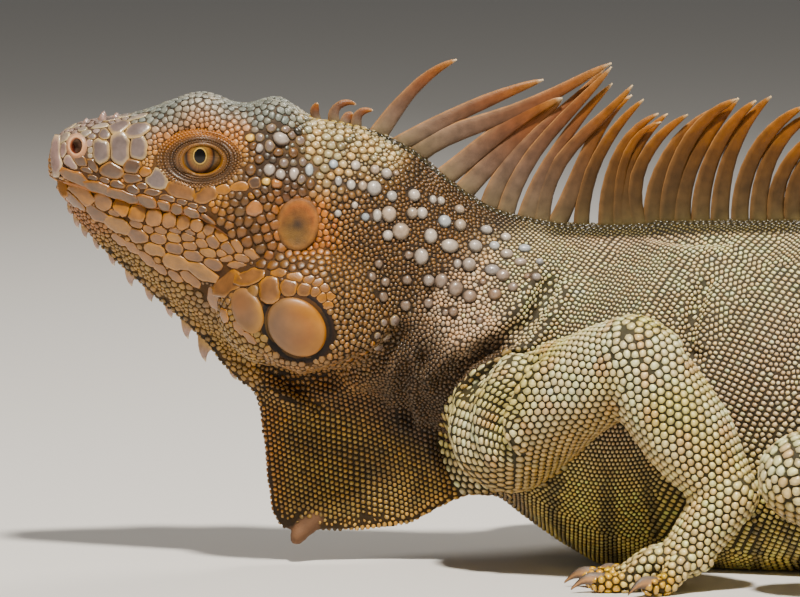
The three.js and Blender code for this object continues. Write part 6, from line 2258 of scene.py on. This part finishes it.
lids = lid_granules()
draw = np.random.default_rng(LID_GRANULES["seed"])
lids["tint"] = varied(lids["tint"], LID_GRANULES["variation"], draw)
# painted shade on the rim of each granule
lids["rim"] = lids["tint"] * RIM
lid_near = neighbours(lids["at"], NEIGHBOURS)
scale_mesh("lid_granules", lids, np.arange(len(lids["at"])), lid_near, body_unwrap, 9)

# ---------------------------------------------------------------- edge of the upper lip
LIP_EDGE = {
    "above": 3.4, "radius": 1.0, "flat": 0.75, "lift": 0.1, "around": 12, "swells_by": 0.06, "rear": 0.45,
    "fading_from": 0.9, "last": 0.35, "thinnest": 0.12, "tapering": 1.5,
}
LIP_COLOURS = (srgb(164, 104, 52), srgb(132, 84, 50))


def lip_edge():
    """A thin smooth roll along the upper lip on each side."""
    line = mouth_line()[:-2] - (0, LIP_EDGE["above"])
    line = line[[through_view(column, row) is not None for column, row in line]]
    share = np.linspace(0, 1, len(line))
    at, normal = cast(line)
    direction = unit(np.gradient(at, axis=0))
    up = unit(np.cross(direction, normal))
    fading = LIP_EDGE["last"] + (1 - LIP_EDGE["last"]) * smooth_step(1, LIP_EDGE["fading_from"], share)
    radius = LIP_EDGE["radius"] * smooth_step(0, LIP_EDGE["swells_by"], share)
    radius = radius * mix(1.0, LIP_EDGE["rear"], share ** LIP_EDGE["tapering"]) * fading
    radius = np.maximum(radius, LIP_EDGE["thinnest"])[:, None]
    angle = circle(LIP_EDGE["around"])
    c, s = LIP_EDGE["flat"] * np.cos(angle)[:, None], np.sin(angle)[:, None]
    rings = np.array([
        place + out * LIP_EDGE["lift"] + r * (s * rise + c * out)
        for place, out, rise, r in zip(at, normal, up, radius)
    ])
    colour = np.repeat(mix(LIP_COLOURS[0], LIP_COLOURS[1], share[:, None]), LIP_EDGE["around"], axis=0)
    return [(loft(points), colour) for points in both_sides(rings)]


tinted_piece("upper_lip_edge", lip_edge(), MATERIALS["soft"])


# ---------------------------------------------------------------- blades and horns
BLADE_AROUND = 10
BLADE_FROM = 0.45  # how much thinner the front edge is than the back


def vary(seed):
    """A repeatable value between -1 and 1 for a number."""
    wave = math.sin(seed * 127.1 + 11.7) * 43758.5453
    return 2 * (wave - math.floor(wave)) - 1


def curve(first, control, last, t):
    """Points of a quadratic curve."""
    t = np.asarray(t)[:, None]
    return (1 - t) ** 2 * first + 2 * t * (1 - t) * control + t**2 * last


def blade(front, back, thick, across):
    """Rings of a thin blade between its front and back edges."""
    angle = circle(BLADE_AROUND)
    c, s = np.cos(angle)[None, :, None], np.sin(angle)[None, :, None]
    middle, half = (front + back)[:, None] / 2, (front - back)[:, None] / 2
    sharper = 1 - BLADE_FROM * np.clip(c, 0, 1)
    return middle + c * half + s * sharper * thick[:, None, None] / 2 * across


# each horn is lightened along its rings' first corner, a blade's front edge: painted highlight
EDGE_HIGHLIGHT = {"share": 0.75, "colour": srgb(206, 158, 116)}  # of the front edge of a horn


def horn_piece(name, shapes, material):
    """Many lofted horns as one mesh; each shape is its rings and the colour of each ring."""
    made = []
    for rings, tints in shapes:
        edge = np.clip(np.cos(circle(len(rings[0]))), 0, 1) ** 8
        # painted highlight along that edge
        highlighted = mix(tints, EDGE_HIGHLIGHT["colour"], EDGE_HIGHLIGHT["share"])
        tints = mix(tints[:, None, :], highlighted[:, None, :], edge[None, :, None])
        made.append((loft(rings), tints.reshape(-1, 3)))
    return tinted_piece(name, made, material)


def in_plane(spots, side=0.0):
    """Places seen at spots in view that lie a given way to the left of the middle plane."""
    return at_distance(spots, np.full(len(spots), float(side)))


# teeth of skin along the throat: column and row of the tip, height and width in view
THROAT_TEETH = [
    (71, 215, 9, 7), (78, 228, 12, 9), (86, 238, 12, 9), (98, 250, 14, 10), (114, 266, 15, 11),
    (131.8, 286.5, 18, 12.5), (151.5, 302, 16, 12.5), (171.6, 318, 16, 12.5), (188, 339, 19, 12.5),
    (205.6, 361.7, 22, 14), (236, 380, 14, 14),
]
TOOTH_SHARES = np.array([0.0, 0.15, 0.35, 0.55, 0.75, 0.9, 1.0])
TOOTH = {"thick": 2.1, "root": (7.0, -7.0), "larger": 1.3, "thinner": 0.8}
# places on the outline of a tooth beside its tip: in its widths backwards and its heights down
TOOTH_OUTLINE = {
    "front": (-0.42, -1), "bulge": (-0.50, -0.28), "back": (0.52, -0.46), "hollow": (0.04, -0.42),
}
TOOTH_COLOURS = {"root": srgb(186, 152, 108), "side": srgb(186, 160, 150), "tip": srgb(232, 214, 190)}


def throat_tooth(column, row, high, wide):
    """The rings and colours of one tooth of skin, from its place in view."""
    tip = np.array([column, row])
    high, wide = high * TOOTH["larger"], wide * TOOTH["larger"]
    front, bulge, back, hollow = (tip + (x * wide, y * high) for x, y in TOOTH_OUTLINE.values())
    ahead = np.vstack([front + TOOTH["root"], curve(front, bulge, tip, TOOTH_SHARES)])
    behind = np.vstack([back + TOOTH["root"], curve(back, hollow, tip + (0.6, 0.2), TOOTH_SHARES)])
    thick = TOOTH["thick"] * np.concatenate([[1.0], 1 - TOOTH["thinner"] * TOOTH_SHARES])
    rings = blade(in_plane(ahead), in_plane(behind), thick, ACROSS)
    paling = smooth_step(0.1, 0.6, np.append(0, TOOTH_SHARES))[:, None]
    tints = mix(TOOTH_COLOURS["root"], TOOTH_COLOURS["side"], paling)
    tints[-2:] = TOOTH_COLOURS["tip"]
    return rings, tints


horn_piece("throat_teeth", [throat_tooth(*row) for row in THROAT_TEETH], MATERIALS["horn"])

# short horns on the snout: their foot, width there and tip in view, and how far beside the middle plane
SNOUT_HORNS = [
    ((86.5, 127), 9, (85.5, 119), 3.2), ((101.5, 124), 11, (103, 112), 3.6),
    ((114.5, 121), 10, (116, 113.5), 3.4),
]
HORN_SHARES = np.array([-0.3, 0.0, 0.3, 0.55, 0.75, 0.9, 1.0])
HORN_WIDTHS = np.array([1.0, 1.0, 0.86, 0.66, 0.46, 0.28, 0.08])
HORN_THICKNESS = 0.9  # of its width


def snout_horn(foot, wide, tip, beside):
    """The rings and colours of one short horn, from its place in view."""
    foot, tip = np.array(foot), np.array(tip)
    t, width = HORN_SHARES, wide * HORN_WIDTHS
    middle = foot + (tip - foot) * t[:, None]
    half = np.stack([width / 2, 0 * width], -1)
    ahead, behind = middle - half, middle + half
    thick = width * CAMERA["mm_per_pixel"] * HORN_THICKNESS
    rings = blade(in_plane(ahead, beside), in_plane(behind, beside), thick, ACROSS)
    return rings, mix(srgb(112, 90, 82), srgb(160, 136, 128), smooth_step(0.0, 0.8, t)[:, None])


snout_horns = [snout_horn(*row) for row in SNOUT_HORNS]
snout_horns += [(rings * MIRROR, tints) for rings, tints in snout_horns]
horn_piece("snout_horns", snout_horns, MATERIALS["pearl"])

# ---------------------------------------------------------------- crest
# the spines in view: places along each from root to tip, then its width at the root and half way, in pixels
CREST_SPINES = [
    ((316, 110), (316, 106), (318, 103), 9, 7),
    ((334, 115.6), (338.4, 106), (345.6, 102.8), (356, 104.9), 11, 6),
    ((356, 122), (359.2, 114), (373, 110.3), 11, 6.5), ((345, 120), (349, 116), (353, 113.5), 10, 8),
    ((380, 130), (395, 111), (424, 79.3), (456.5, 59.5), 18, 9.5),
    ((403.2, 142.8), (448, 118.8), (500, 95.5), (543.2, 80), 17, 11.5),
    ((419, 160), (480, 123.6), (544, 98.5), (577, 80.9), (610.7, 63), 20, 12),
    ((465.6, 182.8), (496, 157), (524, 131), (562, 99), 20, 15),
    ((446.4, 171.6), (480, 148), (520, 117.7), (562, 98), 20, 14.5),
    ((489.6, 192.4), (520, 151), (553, 119), (605, 67), 18, 9.5),
    ((506, 200), (533.9, 153), (570, 111), (611, 66.5), 18, 10),
    ((527, 206), (551, 160), (577, 121.7), (612, 83.6), 18, 9.5),
    ((541, 208), (574.4, 143.9), (600, 118.5), (632, 84.7), 18, 10),
    ((558, 210), (584, 160), (604, 122), (631.5, 95.3), 18, 11),
    ((581.5, 213), (590, 176), (611.7, 133.7), (643.2, 99), 15, 9.5),
    ((606.5, 216), (611, 178), (628, 139), (658.1, 113.7), 16, 10),
    ((618, 216), (625, 160), (638, 136), (660.8, 121.7), 14, 7.5),
    ((627, 216.4), (632, 157), (649, 131), (667.2, 113.7), 16, 9.5),
    ((638, 216.4), (641, 165), (657, 139.6), (687.5, 114.3), 17, 10),
    ((652, 212), (661, 170), (684, 133.3), (721, 107.2), 17, 10.5),
    ((666, 214.9), (674, 175), (691, 137), (736.5, 98.7), 18, 12),
    ((682, 214.9), (690, 167), (707, 135), (737.3, 98.3), 18, 13),
    ((700.5, 215), (706.5, 174), (723.4, 135.5), (755.4, 100.3), 18, 12),
    ((719.8, 213.3), (726, 168), (739, 134), (769.6, 96.5), 18, 11.5),
    ((739.9, 211.8), (747, 172), (764.5, 138.5), (803, 106), 17, 12),
    ((758.4, 213.3), (763.5, 175), (776, 145.5), (818, 112), 17, 12),
    ((775.4, 213.3), (781, 178), (794, 155), (824, 128), 17, 11),
    ((792.4, 213.3), (797, 180), (812, 153), (840, 128), 17, 12),
]
# spines behind the ones in view: first station, width, and how they vary in length, lean and width
BEHIND = {
    "from": 62, "chord": 5.4, "shorter": 60, "narrowest": 0.42, "half_way": 0.7, "length": 0.06, "lean": 2,
    "bend": 1.6,
}
SPINE = {"sunk": 3.5, "sway": 0.035, "root_thick": 2.3, "tip_thick": 0.9, "tip_room": 0.1, "shades": 0.10}
SPINE_T = np.array([0.0, 0.06, 0.14, 0.24, 0.36, 0.48, 0.6, 0.71, 0.81, 0.89, 0.95, 0.985, 1.0])
# shares of the width at its root and of that half way, from root to tip
SPINE_WIDTH = table_curve([
    (0.0, 1.0, 0), (0.25, 0.6, 0.4), (0.5, 0, 1), (0.8, 0, 0.68), (0.93, 0, 0.42), (1.0, 0, 0.12),
])
SPINE_BREADTH = 1.06, 1.28  # how much broader than in the table a spine is at its root and half way
# colours from root to tip, for the spines of the neck and of the back
NECK_SPINE = [(0.0, (118, 104, 84)), (0.10, (110, 94, 80)), (0.25, (104, 84, 72)), (0.45, (100, 72, 56)),
              (0.65, (112, 70, 48)), (0.85, (126, 80, 46)), (0.96, (150, 108, 70)), (1.0, (214, 198, 170))]
BACK_SPINE = [(0.0, (92, 80, 56)), (0.08, (80, 64, 44)), (0.3, (74, 54, 34)), (0.5, (84, 56, 30)),
              (0.7, (108, 68, 30)), (0.88, (130, 80, 32)), (0.96, (152, 102, 50)), (1.0, (214, 194, 160))]
TAIL_SPINE = [(0.0, (120, 104, 76)), (0.5, (150, 122, 84)), (1.0, (176, 152, 112))]


def stops_at(stops, t):
    """Colours at shares of the way from root to tip."""
    places = [place for place, _ in stops]
    table = np.array([srgb(*colour) for _, colour in stops])
    return at_marks(t, places, table)


SPINE_TURNS = {"back": (-50, -15), "tail": (150, 330)}  # stations between which the colours change


def spine_colour(station, t, number):
    """Colours from root to tip of a spine at a station of the back."""
    back = float(smooth_step(*SPINE_TURNS["back"], station))
    tail = float(smooth_step(*SPINE_TURNS["tail"], station))
    body = mix(mix(stops_at(NECK_SPINE, t), stops_at(BACK_SPINE, t), back), stops_at(TAIL_SPINE, t), tail)
    return body * (1 + SPINE["shades"] * vary(number + 0.2))


def spine_on(station, backwards_up, chords, number):
    """A flat spine on the back, along a curve given in mm backwards and up from its root."""
    turn = math.radians(turn_at(station)[0, 0])
    backwards = np.array([math.cos(turn), math.sin(turn), 0])
    across = np.array([-math.sin(turn), math.cos(turn), 0])
    root = body_point(station, 0, body_at(station)[0, 0])
    direction = unit(np.gradient(backwards_up, axis=0))
    start = backwards_up[:1] - direction[:1] * SPINE["sunk"]
    path = np.vstack([start, backwards_up])
    direction = np.vstack([direction[:1], direction])
    chords = np.append(chords[:1], chords) / 2
    side = np.stack([-direction[:, 1], direction[:, 0]], axis=-1) * chords[:, None]
    share = np.append(0, SPINE_T)
    sway = SPINE["sway"] * (1 if number % 2 else -1) * np.linalg.norm(path - path[0], axis=1) * share
    front, back = path + side, path - side
    ahead, behind = (
        root + edge[:, :1] * backwards + edge[:, 1:] * UPWARDS + sway[:, None] * across
        for edge in (front, back)
    )
    thick = mix(SPINE["root_thick"], SPINE["tip_thick"], share)
    rings = blade(ahead, behind, np.minimum(thick, 2 * chords + SPINE["tip_room"]), across)
    return rings, spine_colour(station, share, number)


def crest_shapes():
    """The spines in view by their places, then the rest by the table."""
    shapes = []
    shares = SPINE_WIDTH(SPINE_T)
    stations = np.arange(-130.0, 140.0)
    back_line = view_place(np.vstack([body_point(x, 0, body_at(x)[0, 0]) for x in stations]))
    scale = CAMERA["mm_per_pixel"]
    for number, (root, *places, wide, narrow) in enumerate(CREST_SPINES):
        station = float(np.interp(root[0], back_line[:, 0], stations))
        slower = math.cos(math.radians(turn_at(station)[0, 0]))
        emerges = np.array([root[0], np.interp(station, stations, back_line[:, 1])])
        line = (np.array([emerges, *places]) - emerges) * (scale / slower, -scale)
        way = way_along(line)
        shape = np.linalg.solve(np.vander(way / way[-1], len(line)), line)
        path = np.vander(SPINE_T, len(line)) @ shape
        chords = (shares @ (SPINE_BREADTH * np.array([wide, narrow]))) * scale
        shapes.append(spine_on(station, path, chords, number))
    station, number = BEHIND["from"], len(CREST_SPINES)
    while station < CREST_END:
        length, lean, bend = crest_at(station)[0]
        length *= 1 + BEHIND["length"] * vary(number)
        lean = lean + BEHIND["lean"] * vary(number + 0.5)
        angle = np.radians(lean + BEHIND["bend"] * bend * (0.5 - SPINE_T))
        heading = np.stack([np.cos(angle), np.sin(angle)], axis=-1)
        steps = np.diff(SPINE_T, prepend=0)[:, None] * length * heading
        chord = BEHIND["chord"] * min(1, BEHIND["narrowest"] + length / BEHIND["shorter"])
        chords = chord * (shares[:, 0] + BEHIND["half_way"] * shares[:, 1])
        shapes.append(spine_on(station, np.cumsum(steps, axis=0), chords, number))
        station += CREST_STEP["body" if station < TRUNK_END else "tail"]
        number += 1
    return shapes


horn_piece("crest_spines", crest_shapes(), MATERIALS["horn"])


# ---------------------------------------------------------------- claws
CLAW_SHARES = np.array([-0.2, -0.05, 0.08, 0.2, 0.35, 0.5, 0.65, 0.8, 0.92, 1.0])
CLAW_AROUND = circle(14)  # corners of its rings
CLAW_COLOURS = mix(srgb(112, 102, 94), srgb(46, 38, 34), smooth_step(0.2, 1.0, CLAW_SHARES)[:, None])


CLAW_ARCH = {"root": 0.6, "rise": 1.4, "tapering": 1.1, "narrower": 0.72}


def claw_rings(tip, along):
    """Rings of one claw, arched over the tip of its digit and down to the floor."""
    across = np.cross(UPWARDS, along)
    rings = []
    for t in CLAW_SHARES:
        radius = mix(CLAW["root"], CLAW["tip"], max(t, 0) ** CLAW_ARCH["tapering"])
        rise = CLAW_ARCH["rise"] * math.sin(math.pi * max(t, 0))
        arched = tip[2] + CLAW_ARCH["root"] + rise - CLAW["drop"] * t * t
        centre = tip + along * CLAW["length"] * t
        centre[2] = max(radius + 0.1, arched)
        c, s = CLAW_ARCH["narrower"] * np.cos(CLAW_AROUND)[:, None], np.sin(CLAW_AROUND)[:, None]
        rings.append(centre + radius * (c * across + s * UPWARDS))
    return np.array(rings)


for name, (_, roots) in LEGS.items():
    limb_name, side_name = name.split("_")
    foot = "hand" if limb_name == "foreleg" else "foot"
    for number, (tip, along) in enumerate(roots):
        shape = (claw_rings(tip, along), CLAW_COLOURS)
        claw = horn_piece(f"claw_{foot}_{side_name}_{number + 1}", [shape], MATERIALS["horn"])
        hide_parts(f"{foot}_{side_name}_claw_{number + 1}")


# ---------------------------------------------------------------- floor, light and camera
def stage_material():
    material, _, _, shader = node_material("pale_floor")
    set_inputs(shader, {"Base Color": (0.72, 0.70, 0.67, 1), "Roughness": 0.9})
    return material


STAGE_SIZE = 40.0  # metres, so that the floor fills the view from every side


def make_stage():
    bpy.ops.mesh.primitive_plane_add(size=STAGE_SIZE)
    stage = bpy.context.active_object
    stage.name = "floor"
    stage.data.materials.append(stage_material())


def area_light(name, at, towards, size, power, colour):
    """A round lamp turned towards a place."""
    lamp = bpy.data.lights.new(name, "AREA")
    lamp.shape = "DISK"
    lamp.size = size
    lamp.energy = power
    lamp.color = colour
    holder = bpy.data.objects.new(name, lamp)
    holder.location = at
    holder.rotation_euler = (Vector(towards) - Vector(at)).to_track_quat("-Z", "Y").to_euler()
    bpy.context.collection.objects.link(holder)


make_stage()
centre = to_row(CAMERA["target"])
# place from the middle of the view in metres, size, power and colour of each light
LIGHTS = {
    "key": ((0.15, -0.95, 1.75), 0.2, 80, (1.0, 0.94, 0.84)),
    "fill": ((-1.3, -1.9, 0.1), 1.6, 4.5, (1.0, 0.93, 0.82)),
    "rim": ((0.9, 1.3, 1.3), 0.8, 20, (1.0, 0.95, 0.88)),
}
for name, (place, size, power, colour) in LIGHTS.items():
    area_light(name, centre + place, centre, size, power, colour)
world = bpy.data.worlds.new("studio")
bpy.context.scene.world = world
world.use_nodes = True
set_inputs(world.node_tree.nodes["Background"], {"Color": (0.92, 0.90, 0.86, 1), "Strength": 0.15})

lens = bpy.data.cameras.new("camera")
lens.sensor_width = CAMERA["sensor"]
lens.lens = CAMERA["sensor"] * PIXELS / VIEW["width"]
lens.clip_start = 0.05
lens.clip_end = 50
camera = bpy.data.objects.new("camera", lens)
camera.location = to_row(STAND)
camera.rotation_euler = Vector(LOOK).to_track_quat("-Z", "Y").to_euler()
bpy.context.collection.objects.link(camera)
bpy.context.scene.camera = camera
